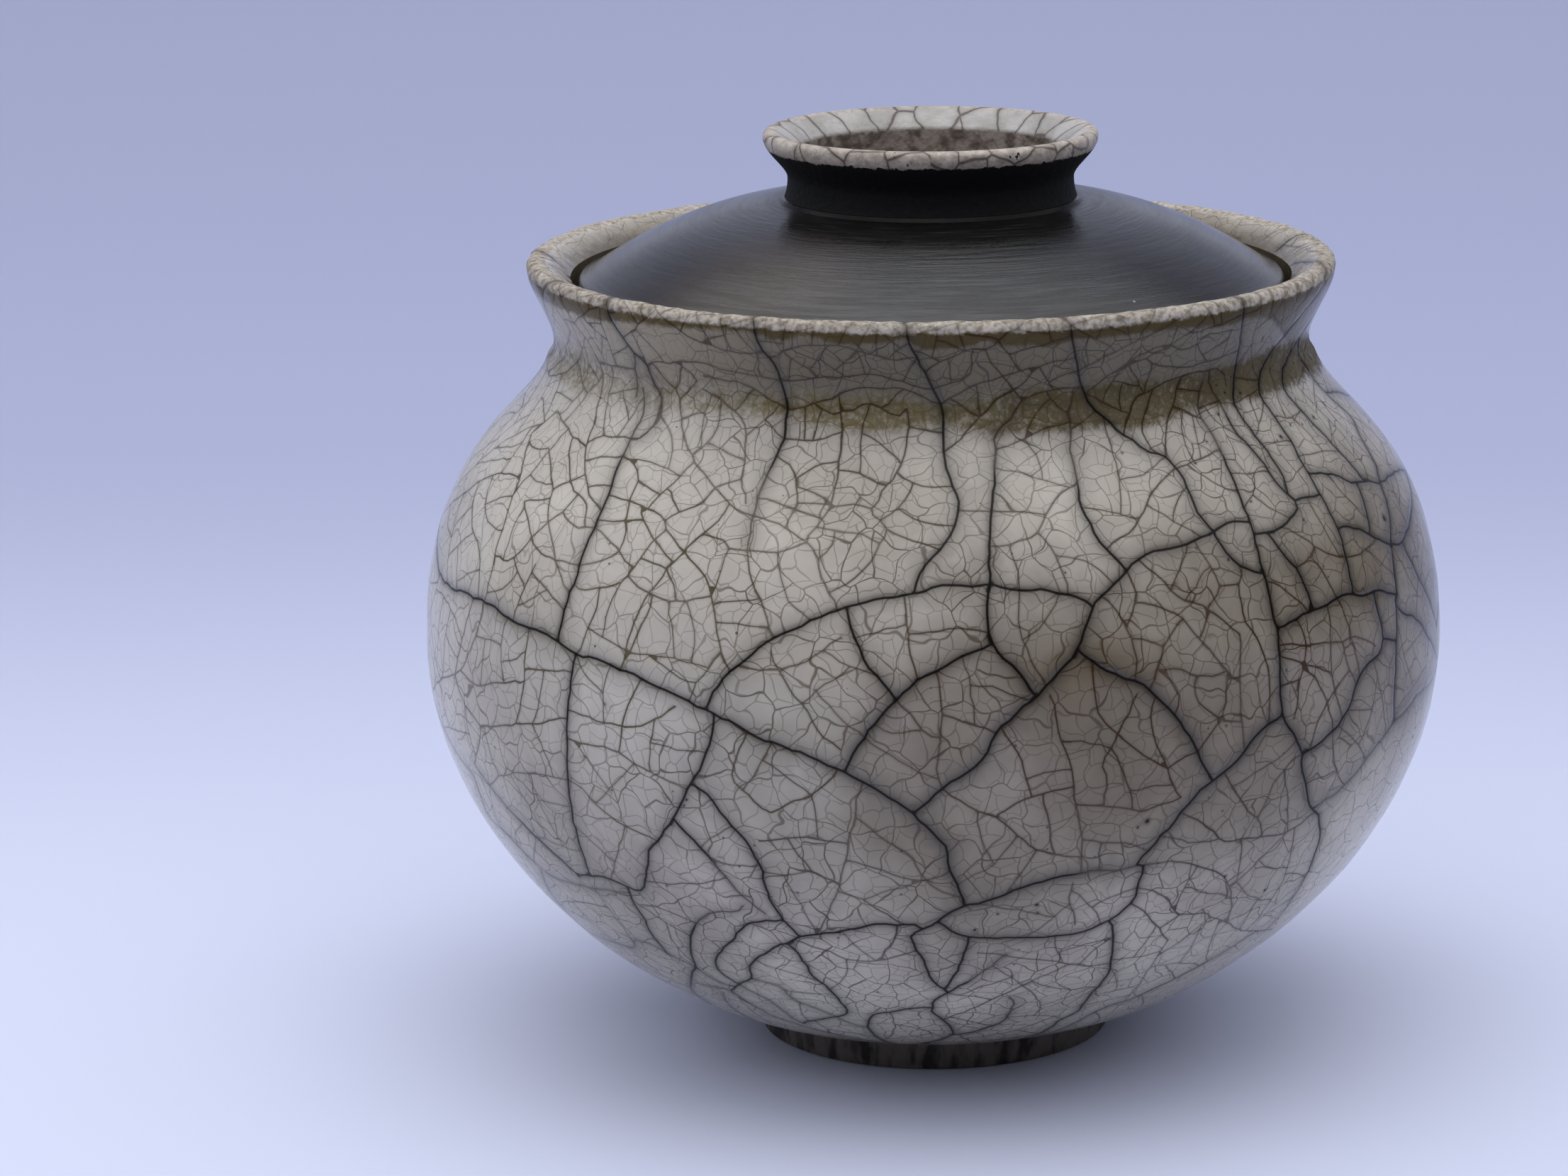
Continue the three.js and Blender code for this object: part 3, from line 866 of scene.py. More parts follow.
last_ring = top_ring
for r, z in profile(jar_inner_steps, inside_pitch)[1:-1]:
    ring = add_ring(r, z)
    join_rings(jar_faces, last_ring, ring)
    last_ring = ring
extra_points.append((0.0, 0.0, floor_height))
hub = len(jar_points) + len(extra_points) - 1
jar_faces.extend((last_ring[k], last_ring[(k + 1) % jar_columns], hub) for k in range(jar_columns))
last_ring = low_ring
for r in base_rings:
    ring = add_ring(r, base_height)
    join_rings(jar_faces, ring, last_ring)
    last_ring = ring
extra_points.append((0.0, 0.0, base_height))
hub = len(jar_points) + len(extra_points) - 1
jar_faces.extend((last_ring[(k + 1) % jar_columns], last_ring[k], hub) for k in range(jar_columns))

# Stains for the material to read: how deep each point lies in a black or a brown crack or in a blot, and
# a softer shade that reaches further from the cracks.
outside_count = len(jar_points)
jar_all = np.vstack([jar_points, np.array(extra_points)])
stains = np.zeros((len(jar_all), 2))
near_segments, near_gaps = segment_gaps(jar_points, 10)
depth = np.array(segment_weight)[near_segments] * (1 - near_gaps / np.array(segment_reach)[near_segments])
for column, kind in enumerate(("black", "brown")):
    of_kind = np.array(segment_kind)[near_segments] == kind
    stains[:outside_count, column] = np.clip(np.where(of_kind, depth, 0), 0, 1).max(axis=1)
shade = np.zeros(len(jar_all))
for kind, reach, amount in (("black", 3.2, 1.0), ("brown", 1.3, 0.25)):
    of_kind = np.vstack([crack["points"] for crack in cracks if crack["kind"] == kind])
    kind_tree = KDTree(len(of_kind))
    for index, point in enumerate(of_kind):
        kind_tree.insert(point, index)
    kind_tree.balance()
    gaps = np.array([kind_tree.find(p)[2] for p in jar_points])
    shade[:outside_count] = np.maximum(shade[:outside_count], amount * np.clip(1 - gaps / reach, 0, 1))
for centre, radius in blots:
    away = np.linalg.norm(jar_all - centre, axis=1)
    stains[:, 0] = np.maximum(stains[:, 0], np.clip(1.35 - 0.7 * away / radius * 1.5, 0, 1.0))


def mesh_object(name, points, faces):
    """A new mesh object from points in mm, without the points that no face uses, smooth shaded."""
    used = np.zeros(len(points), bool)
    for face in faces:
        used[list(face)] = True
    renumber = np.cumsum(used) - 1
    mesh = bpy.data.meshes.new(name)
    kept = np.array(points)[used] * 0.001
    mesh.from_pydata(kept.tolist(), [], [tuple(int(renumber[i]) for i in face) for face in faces])
    mesh.polygons.foreach_set("use_smooth", [True] * len(mesh.polygons))
    made = bpy.data.objects.new(name, mesh)
    scene.collection.objects.link(made)
    return made, used


def add_uv(made, name, places):
    """A UV layer from one place for every corner of every face."""
    layer = made.data.uv_layers.new(name=name)
    layer.data.foreach_set("uv", np.ascontiguousarray(places, dtype=np.float32).ravel())


def add_attribute(made, name, values):
    """A number for every point of the mesh, for its material to read."""
    layer = made.data.attributes.new(name, "FLOAT", "POINT")
    layer.data.foreach_set("value", np.ascontiguousarray(values, dtype=np.float32))


# The wall's own relief, inward only on the belly: throwing rings, crack grooves and the lip's rough edge.
relief_out = np.stack([np.interp(chart[:, 1], jar_chart, jar_normals[:, k]) for k in (0, 1)], axis=1)
throwing_depth = 0.22
chipping_depth = 0.24
groove_depth = 0.05
throwing = [noise.noise(Vector((0.02 * x, 0.02 * y, 0.11 * z))) for x, y, z in jar_points]
relief = np.array(throwing) * throwing_depth - throwing_depth
chipping = [noise.noise(Vector(p) * 0.35) + 0.6 * noise.noise(Vector(p) * 0.9) for p in jar_points]
rough_lip = np.clip((jar_points[:, 2] - 143.5) / 2.0, 0, 1)
relief += rough_lip * np.array(chipping) * chipping_depth
relief -= groove_depth * stains[:outside_count, 0] ** 4
relief[(chart[:, 1] < 0.02) | (chart[:, 1] > jar_chart[-1] - 0.004)] = 0.0
jar_all[:outside_count, 0] += relief * relief_out[:, 0] * np.sin(chart[:, 0])
jar_all[:outside_count, 1] -= relief * relief_out[:, 0] * np.cos(chart[:, 0])
jar_all[:outside_count, 2] += relief * relief_out[:, 1]
jar_body, jar_used = mesh_object("jar_body_glazed", jar_all, jar_faces)
corner_places = [tuple(chart[i]) for face in chart_faces for i in face]
corner_places += [(0.0, 0.0)] * (len(jar_body.data.loops) - len(corner_places))
add_uv(jar_body, "chart", corner_places)


def band(value, start, end):
    """0 before start, 1 after end, smooth between."""
    t = np.clip((value - start) / (end - start), 0, 1)
    return t * t * (3 - 2 * t)


def patch(points, x, y, across):
    """1 at the photo pixel x,y on the jar, falling to 0 at across mm away."""
    place = photo_to_chart(x, y)
    return 1 - band(np.linalg.norm(points - on_jar(*place), axis=1), across * 0.25, across)


jar_z = jar_all[:, 2]
jar_turn = np.arctan2(jar_all[:, 0], -jar_all[:, 1])
is_outside = np.arange(len(jar_all)) < outside_count
wobble = np.array([noise.noise(Vector(p) * 0.05) for p in jar_all])
ripple = np.array([noise.noise(Vector(p) * 0.16 + Vector((9, 3, 1))) for p in jar_all])
smoke_and_shade = np.zeros(len(jar_all))
# Smoke stains, which on the middle of the belly's front are also painted shade where less light reaches:
# photo pixel x, y, the mm across and the amount.
smoke_and_shade_patches = (
    (1740, 720, 55, 0.25), (1700, 930, 45, 0.7), (1880, 920, 45, 0.8), (1990, 860, 45, 0.9),
    (1580, 1040, 42, 0.9), (1280, 720, 50, 0.22), (720, 930, 30, 0.5), (1120, 760, 40, 0.15),
    (1400, 1150, 50, 0.7), (1100, 1010, 32, 0.25), (1200, 1140, 38, 0.5), (1290, 1120, 32, 0.9),
    (1750, 1150, 45, 0.45), (790, 1190, 60, 0.3), (1760, 1030, 48, 0.8), (2010, 910, 40, 1.0),
)
for x, y, across, amount in smoke_and_shade_patches:
    smoke_and_shade = np.maximum(smoke_and_shade, amount * patch(jar_all, x, y, across))
smoke_and_shade = np.maximum(smoke_and_shade, 0.45 * band(-np.cos(jar_turn) + wobble, 0.2, 0.9))
lip_top = jar_chart[np.argmin(np.hypot(jar_outer[:, 0] - 72.9, jar_outer[:, 1] - 148.0))]
jar_height = np.concatenate([chart[:, 1], np.full(len(extra_points), jar_chart[-1])])
inner_wall = band(jar_height, lip_top, lip_top + 0.05)


def over_edge(text):
    """mm along the wall above an edge picked in the photo as x,y pixels, and above a wavy edge behind."""
    picked = sorted(photo_to_chart(*map(float, pair.split(","))) for pair in text.split())
    turns = np.array([p[0] for p in picked])
    heights = np.array([p[1] for p in picked])
    behind = heights.mean() + 0.04 * wobble + 0.02 * ripple
    widest = max(abs(turns[0]), abs(turns[-1]))
    seen = 1 - band(np.abs(jar_turn), widest, widest + 0.25)
    edge = seen * np.interp(jar_turn, turns, heights) + (1 - seen) * behind
    return (jar_height - edge) * lip_radius


# Edges of the smoke stain under the lip and of the one at the neck's foot, picked in the photo.
over_lip_stain = over_edge("""
830,450 860,456 900,455 940,462 980,464 1010,465 1060,470 1090,480 1110,480 1130,471 1180,485 1210,488
1240,485 1280,478 1300,494 1340,492 1370,491 1390,480 1420,491 1440,488 1460,489 1490,488 1510,480
1540,480 1580,474 1610,472 1650,465 1690,463 1720,463 1740,459 1760,452 1790,448 1810,470 1825,500
""")
over_neck_top = over_edge("""
825,510 840,515 870,522 900,534 925,540 950,546 975,542 1010,556 1050,562 1080,570 1110,572 1150,566
1190,574 1210,571 1260,568 1320,588 1350,584 1380,572 1410,566 1440,566 1480,563 1520,566 1560,558
1600,555 1650,552 1680,545 1700,539 1740,528 1760,526 1790,508 1810,500 1830,492
""")
over_neck_foot = over_edge("""
825,560 840,566 870,570 900,580 925,584 950,584 975,584 1010,586 1050,590 1080,594 1110,592 1150,602
1190,608 1210,612 1260,612 1320,604 1350,606 1380,612 1410,616 1440,613 1480,613 1520,608 1560,602
1600,606 1650,592 1680,578 1700,575 1740,570 1760,562 1790,556 1810,548 1830,540
""")
neck_right = 0.35 * band(jar_turn, 0.1, 0.5) + 0.2 * band(jar_turn, 0.6, 1.0)
neck_left = 0.3 * band(-jar_turn, 0.25, 0.7)
neck_front = 1 - band(np.abs(jar_turn), 1.5, 2.5)
neck_amount = 0.92 + neck_front * (neck_right - neck_left) + 0.3 * wobble
inside = np.where(is_outside | (jar_z > 138.5), 0.0, 1.0)
for name, values in (("black", stains[:, 0]), ("brown", stains[:, 1]), ("smoke_and_shade", smoke_and_shade),
                     ("over_lip_stain", over_lip_stain), ("over_neck_top", over_neck_top),
                     ("over_neck_foot", over_neck_foot), ("neck_amount", neck_amount), ("inside", inside),
                     ("inner_wall", inner_wall), ("shade", shade)):
    add_attribute(jar_body, name, values[jar_used])


def srgb(text):
    """A linear colour with alpha from an sRGB hex code."""
    parts = [int(text[i:i + 2], 16) / 255 for i in (1, 3, 5)]
    return tuple(c / 12.92 if c <= 0.04045 else ((c + 0.055) / 1.055) ** 2.4 for c in parts) + (1.0,)


def node(tree, kind, inputs=(), output=0, **settings):
    """Adds a node, sets or links its inputs by name or number, and returns one output, or all for None."""
    made = tree.nodes.new(kind if kind.startswith("Geometry") else "ShaderNode" + kind)
    for key, value in settings.items():
        setattr(made, key, value)
    for key, value in dict(inputs).items():
        if isinstance(value, bpy.types.NodeSocket):
            tree.links.new(value, made.inputs[key])
        else:
            made.inputs[key].default_value = value
    return made.outputs if output is None else made.outputs[output]


eased = {"interpolation_type": "SMOOTHSTEP"}
mixed = {"output": 2, "data_type": "RGBA"}


def new_material(name):
    """An empty material with its output, its shader and the object's own coordinates in mm."""
    material = bpy.data.materials.new(name)
    material.use_nodes = True
    tree = material.node_tree
    tree.nodes.clear()
    output = tree.nodes.new("ShaderNodeOutputMaterial")
    shader = tree.nodes.new("ShaderNodeBsdfPrincipled")
    tree.links.new(shader.outputs[0], output.inputs["Surface"])
    place = node(tree, "TexCoord", output="Object")
    place = node(tree, "VectorMath", {0: place, 1: (1000.0, 1000.0, 1000.0)}, operation="MULTIPLY")
    return material, tree, shader, place


def connect(tree, shader, **sockets):
    """Sets or links the shader's inputs; a name's underscores are the socket's spaces."""
    for name, value in sockets.items():
        socket = shader.inputs[name.replace("_", " ")]
        if isinstance(value, bpy.types.NodeSocket):
            tree.links.new(value, socket)
        else:
            socket.default_value = value


# Raku crackle glaze: thick, glossy, off-white, stained brown where the smoke got in; its colour also carries
# painted shade and painted light.
# A pattern's scale is one over its size in mm, here and in the other materials.
glaze, tree, shader, place = new_material("raku_crackle_glaze")
black = node(tree, "Attribute", output="Fac", attribute_name="black")
brown = node(tree, "Attribute", output="Fac", attribute_name="brown")
cloud = node(tree, "TexNoise", {"Vector": place, "Scale": 1 / 33.3, "Detail": 4.0})
grain = node(tree, "TexNoise", {"Vector": place, "Scale": 1 / 2.86, "Detail": 3.0})
white = node(tree, "Mix", {
    0: node(tree, "MapRange", {0: cloud, 1: 0.35, 2: 0.65}, **eased), 6: srgb("#cdc5b7"),
    7: srgb("#b6aea1"),
}, **mixed)
white = node(tree, "Mix", {
    0: node(tree, "MapRange", {0: grain, 1: 0.45, 2: 0.8, 3: 0.0, 4: 0.35}, **eased), 6: white,
    7: srgb("#d8d1c4"),
}, **mixed)
# The smoke's brown, which on the front of the belly is partly painted shade.
smoke_and_shade_amount = node(tree, "Math", {
    0: node(tree, "Attribute", output="Fac", attribute_name="smoke_and_shade"),
    1: node(tree, "MapRange", {0: cloud, 1: 0.2, 2: 0.6, 3: 0.55, 4: 1.0}, **eased),
}, operation="MULTIPLY")
white = node(tree, "Mix", {0: smoke_and_shade_amount, 6: white, 7: srgb("#746650")}, **mixed)
# Where the smoke's own stains lie: the neck's foot, under the lip, the lip and inside it. The collar is drawn
# darker as painted shade on its flare.
ragged = node(tree, "Math", {
    0: node(tree, "TexNoise", {
        "Vector": place, "Scale": 1 / 1.667, "Detail": 3.0, "Roughness": 0.6,
    }),
    1: 0.5,
}, operation="SUBTRACT")
sideways, away, up = node(tree, "SeparateXYZ", {0: place}, output=None)
up_ragged = node(tree, "Math", {0: ragged, 1: 1.8, 2: up}, operation="MULTIPLY_ADD")
inner_wall = node(tree, "Attribute", output="Fac", attribute_name="inner_wall")
outer_wall = node(tree, "MapRange", {0: inner_wall, 1: 0.0, 2: 0.4, 3: 1.0, 4: 0.0}, **eased)
above = {}
for edge in ("over_neck_top", "over_neck_foot", "over_lip_stain"):
    above[edge] = node(tree, "Math", {
        0: ragged, 1: 2.0, 2: node(tree, "Attribute", output="Fac", attribute_name=edge),
    }, operation="MULTIPLY_ADD")
# Painted shade: the collar's outward flare is drawn dark grey-brown, and the cracks on it darker.
collar_painted_shade = node(tree, "Math", {
    0: node(tree, "MapRange", {0: above["over_neck_top"], 1: -2.0, 2: 3.5}, **eased), 1: outer_wall,
}, operation="MULTIPLY")
neck_band = node(tree, "Math", {
    0: node(tree, "MapRange", {0: above["over_neck_foot"], 1: -1.8, 2: 2.2}, **eased),
    1: node(tree, "MapRange", {0: above["over_neck_top"], 1: 0.0, 2: 4.5, 3: 1.0, 4: 0.0}, **eased),
}, operation="MULTIPLY")
neck_band = node(tree, "Math", {
    0: neck_band, 1: node(tree, "Attribute", output="Fac", attribute_name="neck_amount"),
}, operation="MULTIPLY")
under_lip = node(tree, "Math", {
    0: node(tree, "MapRange", {0: above["over_lip_stain"], 1: -0.6, 2: 0.6}, **eased), 1: outer_wall,
}, operation="MULTIPLY")
lip = node(tree, "Math", {
    0: node(tree, "MapRange", {
        0: node(tree, "Math", {0: ragged, 1: 1.6, 2: up}, operation="MULTIPLY_ADD"), 1: 145.6, 2: 146.3,
    }, **eased),
    1: node(tree, "MapRange", {0: inner_wall, 1: 0.45, 2: 0.75, 3: 1.0, 4: 0.0}, **eased),
}, operation="MULTIPLY")
lip_edge = node(tree, "Math", {
    0: node(tree, "MapRange", {0: inner_wall, 1: 0.15, 2: 0.45}, **eased),
    1: node(tree, "MapRange", {0: inner_wall, 1: 0.55, 2: 0.9, 3: 1.0, 4: 0.0}, **eased),
}, operation="MULTIPLY")
lip_edge = node(tree, "Math", {
    0: lip_edge, 1: node(tree, "MapRange", {0: away, 1: -50.0, 2: -15.0, 3: 1.0, 4: 0.0}, **eased),
}, operation="MULTIPLY")
wall_stain = node(tree, "Math", {
    0: node(tree, "MapRange", {0: inner_wall, 1: 0.5, 2: 1.0}, **eased),
    1: node(tree, "MapRange", {0: up_ragged, 1: 144.0, 2: 147.3, 3: 1.0, 4: 0.3}, **eased),
}, operation="MULTIPLY")
# The colour of the collar's painted shade, lighter towards the left.
collar_shade_tone = node(tree, "Mix", {
    0: node(tree, "MapRange", {0: sideways, 1: -62.0, 2: -15.0}, **eased), 6: srgb("#a39578"),
    7: srgb("#6d6148"),
}, **mixed)
# Painted light: the upper left of the belly, where the light falls most, is drawn whiter.
painted_light_left = node(tree, "Math", {
    0: node(tree, "MapRange", {0: sideways, 1: -15.0, 2: -55.0, 3: 0.0, 4: 0.36}, **eased),
    1: node(tree, "MapRange", {0: up, 1: 55.0, 2: 95.0}, **eased),
}, operation="MULTIPLY")
white = node(tree, "Mix", {0: painted_light_left, 6: white, 7: srgb("#f0e9dc")}, **mixed)
white = node(tree, "Mix", {0: collar_painted_shade, 6: white, 7: collar_shade_tone}, **mixed)
# Fine crazing, drawn on the unrolled wall: cells of about 5 mm, each split into smaller ones of its own.
unrolled = node(tree, "UVMap", uv_map="chart")
warp = node(tree, "TexNoise", {"Vector": place, "Scale": 1 / 6.25, "Detail": 1.0}, output="Color")
flat = node(tree, "VectorMath", {0: unrolled, 1: (80.0, 80.0, 0.0)}, operation="MULTIPLY")
flat = node(tree, "VectorMath", {0: warp, 1: (5.0, 5.0, 0.0), 2: flat}, operation="MULTIPLY_ADD")
cell = {"Vector": flat, "Scale": 1 / 5.4, "Randomness": 0.95}
edges = {"output": "Distance", "voronoi_dimensions": "2D", "feature": "DISTANCE_TO_EDGE"}
walls = node(tree, "TexVoronoi", cell, **edges)
cell_shift = node(tree, "TexVoronoi", cell, output="Color", voronoi_dimensions="2D")
shifted = node(tree, "VectorMath", {0: cell_shift, 1: (41.0, 41.0, 0.0), 2: flat}, operation="MULTIPLY_ADD")
small_cell = {"Vector": shifted, "Scale": 1 / 2.9, "Randomness": 0.85}
small_walls = node(tree, "TexVoronoi", small_cell, **edges)
craze = node(tree, "MapRange", {0: walls, 1: 0.01, 2: 0.036, 3: 1.0, 4: 0.0}, **eased)
small_craze = node(tree, "MapRange", {0: small_walls, 1: 0.01, 2: 0.05, 3: 0.6, 4: 0.0}, **eased)
craze = node(tree, "Math", {0: craze, 1: small_craze}, operation="MAXIMUM")
craze = node(tree, "Math", {
    0: craze,
    1: node(tree, "MapRange", {
        0: node(tree, "TexNoise", {"Vector": place, "Scale": 1 / 16.7, "Detail": 3.0}), 1: 0.35, 2: 0.65,
        3: 0.65, 4: 1.0,
    }, **eased),
}, operation="MULTIPLY")
craze_tone = node(tree, "Mix", {0: smoke_and_shade_amount, 6: srgb("#55462f"), 7: srgb("#3d2910")}, **mixed)
# Darker crazing on the collar, in its painted shade.
craze_tone = node(tree, "Mix", {0: collar_painted_shade, 6: craze_tone, 7: srgb("#271e17")}, **mixed)
# Under the painted light on the upper left the crazing is fainter.
craze_depth = node(tree, "MapRange", {0: painted_light_left, 1: 0.0, 2: 0.36, 3: 0.95, 4: 0.6}, **eased)
colour = node(tree, "Mix", {
    0: node(tree, "Math", {0: craze, 1: craze_depth}, operation="MULTIPLY"), 6: white, 7: craze_tone,
}, **mixed)
# The stains over the glaze, from the neck's foot up to the lip, which is dry and speckled.
stain = node(tree, "Math", {
    0: neck_band,
    1: node(tree, "MapRange", {
        0: node(tree, "TexNoise", {"Vector": place, "Scale": 1 / 1.111, "Detail": 4.0, "Roughness": 0.65}),
        1: 0.3, 2: 0.7, 3: 0.55, 4: 1.2,
    }, **eased),
}, operation="MULTIPLY")
stain_tone = node(tree, "Mix", {
    0: node(tree, "MapRange", {0: sideways, 1: -30.0, 2: 35.0}, **eased), 6: srgb("#6f6238"),
    7: srgb("#52461f"),
}, **mixed)
colour = node(tree, "Mix", {
    0: node(tree, "MapRange", {0: stain, 1: 0.0, 2: 1.0, 3: 0.0, 4: 0.88}, **eased), 6: colour,
    7: stain_tone,
}, **mixed)
colour = node(tree, "Mix", {
    0: node(tree, "Math", {0: under_lip, 1: 0.85}, operation="MULTIPLY"), 6: colour, 7: srgb("#4e401c"),
}, **mixed)
colour = node(tree, "Mix", {
    0: node(tree, "Math", {0: wall_stain, 1: 0.9}, operation="MULTIPLY"), 6: colour, 7: srgb("#564b35"),
}, **mixed)
lip_tone = node(tree, "Mix", {
    0: node(tree, "MapRange", {
        0: node(tree, "TexNoise", {"Vector": place, "Scale": 1 / 1.111, "Detail": 4.0, "Roughness": 0.6}),
        1: 0.35, 2: 0.68,
    }, **eased),
    6: srgb("#cdc4b8"), 7: srgb("#8f8473"),
}, **mixed)
colour = node(tree, "Mix", {0: lip, 6: colour, 7: lip_tone}, **mixed)
colour = node(tree, "Mix", {
    0: node(tree, "Math", {0: lip_edge, 1: 0.55}, operation="MULTIPLY"), 6: colour, 7: srgb("#a27a66"),
}, **mixed)
# The cracks: a soft shade round them, then the brown ones, then the black ones on top.
shade = node(tree, "Attribute", output="Fac", attribute_name="shade")
shade = node(tree, "Math", {
    0: shade, 1: node(tree, "MapRange", {0: smoke_and_shade_amount, 1: 0.1, 2: 0.8, 3: 0.46, 4: 0.8}, **eased),
}, operation="MULTIPLY")
colour = node(tree, "Mix", {0: shade, 6: colour, 7: srgb("#40382e")}, **mixed)
black_seen = node(tree, "Math", {
    0: black, 1: node(tree, "MapRange", {0: lip, 1: 0.0, 2: 1.0, 3: 1.0, 4: 0.9}, **eased),
}, operation="MULTIPLY")
brown_seen = node(tree, "Math", {
    0: brown, 1: node(tree, "MapRange", {0: lip, 1: 0.0, 2: 1.0, 3: 1.0, 4: 0.84}, **eased),
}, operation="MULTIPLY")
brown_depth = node(tree, "MapRange", {
    0: node(tree, "TexNoise", {"Vector": place, "Scale": 1 / 20, "Detail": 2.0}), 1: 0.35, 2: 0.65,
    3: 0.65, 4: 0.95,
}, **eased)
crack_tone = node(tree, "Mix", {
    0: node(tree, "MapRange", {0: sideways, 1: -60.0, 2: 20.0}, **eased), 6: srgb("#4d4023"),
    7: srgb("#3b260f"),
}, **mixed)
crack_tone = node(tree, "Mix", {
    0: node(tree, "MapRange", {0: up, 1: 70.0, 2: 35.0}, **eased), 6: crack_tone, 7: srgb("#3b3430"),
}, **mixed)
# Darker brown cracks on the collar, in its painted shade.
crack_tone = node(tree, "Mix", {0: collar_painted_shade, 6: crack_tone, 7: srgb("#36240f")}, **mixed)
colour = node(tree, "Mix", {
    0: node(tree, "MapRange", {0: brown_seen, 1: 0.0, 2: 0.9, 3: 0.0, 4: 0.2}, **eased), 6: colour,
    7: crack_tone,
}, **mixed)
brown_core = node(tree, "MapRange", {0: brown_seen, 1: 0.6, 2: 0.92, 3: 0.0, 4: brown_depth}, **eased)
colour = node(tree, "Mix", {0: brown_core, 6: colour, 7: crack_tone}, **mixed)
colour = node(tree, "Mix", {
    0: node(tree, "MapRange", {0: black_seen, 1: 0.3, 2: 0.95, 3: 0.0, 4: 0.4}, **eased), 6: colour,
    7: srgb("#2c2620"),
}, **mixed)
black_core = node(tree, "MapRange", {0: black_seen, 1: 0.8, 2: 0.96}, **eased)
# The black cracks on the collar, in its painted shade, are drawn less deep and browner.
black_depth = node(tree, "MapRange", {0: collar_painted_shade, 1: 0.0, 2: 1.0, 3: 0.95, 4: 0.78}, **eased)
colour = node(tree, "Mix", {
    0: node(tree, "Math", {0: black_core, 1: black_depth}, operation="MULTIPLY"), 6: colour,
    7: node(tree, "Mix", {0: collar_painted_shade, 6: srgb("#110f0d"), 7: srgb("#21170c")}, **mixed),
}, **mixed)
# Pinholes with soot in them, and the bare clay inside the jar with its throwing rings.
specks = node(tree, "TexVoronoi", {"Vector": place, "Scale": 1 / 2.8}, output=None)
speck_size = node(tree, "SeparateColor", {0: specks["Color"]})
speck_reach = node(tree, "MapRange", {0: speck_size, 1: 0.6, 2: 1.0, 3: 0.0, 4: 0.1}, **eased)
is_speck = node(tree, "Math", {0: specks["Distance"], 1: speck_reach}, operation="LESS_THAN")
colour = node(tree, "Mix", {
    0: node(tree, "Math", {0: is_speck, 1: 0.75}, operation="MULTIPLY"), 6: colour, 7: srgb("#2a231c"),
}, **mixed)
rings_in = node(tree, "TexNoise", {
    "Vector": node(tree, "VectorMath", {0: place, 1: (0.1, 0.1, 1.0)}, operation="MULTIPLY"),
    "Scale": 1 / 2, "Detail": 4.0,
})
raw = node(tree, "Mix", {
    0: node(tree, "MapRange", {0: rings_in, 1: 0.35, 2: 0.65}, **eased), 6: srgb("#4a423b"),
    7: srgb("#26221f"),
}, **mixed)
colour = node(tree, "Mix", {
    0: node(tree, "Attribute", output="Fac", attribute_name="inside"), 6: colour, 7: raw,
}, **mixed)
# The surface: cracks sunk a little, glaze dimpled and glossy, the lip, the stains and the cracks dull.
groove = node(tree, "Math", {
    0: node(tree, "MapRange", {0: black, 1: 0.5, 2: 1.0, 3: 0.0, 4: 1.0}, **eased),
    1: node(tree, "Math", {0: brown, 1: 0.4}, operation="MULTIPLY"),
}, operation="MAXIMUM")
groove = node(tree, "Math", {0: groove, 1: -0.1}, operation="MULTIPLY")
dimple = node(tree, "Math", {
    0: node(tree, "TexNoise", {"Vector": place, "Scale": 1 / 2, "Detail": 2.0}), 1: 0.05,
}, operation="MULTIPLY")
height = node(tree, "Math", {
    0: groove,
    1: node(tree, "Math", {
        0: dimple, 1: node(tree, "Math", {0: craze, 1: -0.03}, operation="MULTIPLY"),
    }, operation="ADD"),
}, operation="ADD")
bump = node(tree, "Bump", {"Strength": 0.6, "Distance": 0.001, "Height": height})
gloss = node(tree, "MapRange", {
    0: node(tree, "TexNoise", {"Vector": place, "Scale": 1 / 11.1, "Detail": 3.0}), 1: 0.3, 2: 0.7, 3: 0.1,
    4: 0.2,
}, **eased)
gloss = node(tree, "Math", {
    0: gloss, 1: node(tree, "Math", {0: lip, 1: 0.55}, operation="MULTIPLY"),
}, operation="MAXIMUM")
gloss = node(tree, "Math", {
    0: gloss, 1: node(tree, "Math", {0: stain, 1: 0.45}, operation="MULTIPLY"),
}, operation="MAXIMUM")
gloss = node(tree, "Math", {
    0: gloss,
    1: node(tree, "Math", {
        0: node(tree, "Attribute", output="Fac", attribute_name="inside"), 1: 0.7,
    }, operation="MULTIPLY"),
}, operation="MAXIMUM")
any_crack = node(tree, "Math", {
    0: black_core, 1: node(tree, "Math", {0: brown_core, 1: 0.7}, operation="MULTIPLY"),
}, operation="MAXIMUM")
mirror = node(tree, "MapRange", {0: any_crack, 1: 0.0, 2: 1.0, 3: 0.5, 4: 0.12}, **eased)
dry = node(tree, "Math", {0: stain, 1: under_lip}, operation="MAXIMUM")
mirror = node(tree, "Math", {
    0: mirror, 1: node(tree, "MapRange", {0: dry, 1: 0.0, 2: 1.0, 3: 1.0, 4: 0.3}, **eased),
}, operation="MULTIPLY")
connect(tree, shader, Base_Color=colour, Roughness=gloss, Normal=bump)
connect(tree, shader, IOR=1.5, Specular_IOR_Level=mirror)
jar_body.data.materials.append(glaze)
jar_body.data.set_sharp_from_angle(angle=math.radians(50))
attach(jar_body, "jar")
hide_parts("jar_body")


# Foot ring. A low ring turned under the jar, left unglazed, so the clay itself is smoked brown-black.
# It is luted to the jar's base by its flat top, and its standing edge is rounded off.
foot_steps = [
    ("line", (26.6, 5.3), (26.6, 0.9)),
    ("quad", (26.6, 0.9), (26.6, 0.0), (27.5, 0.0)),
    ("line", (27.5, 0.0), (32.1, 0.0)),
    ("quad", (32.1, 0.0), (33.0, 0.0), (33.0, 0.9)),
    ("line", (33.0, 0.9), (33.8, 5.3)),
    ("line", (33.8, 5.3), (26.6, 5.3)),
]
wheel_steps = 192

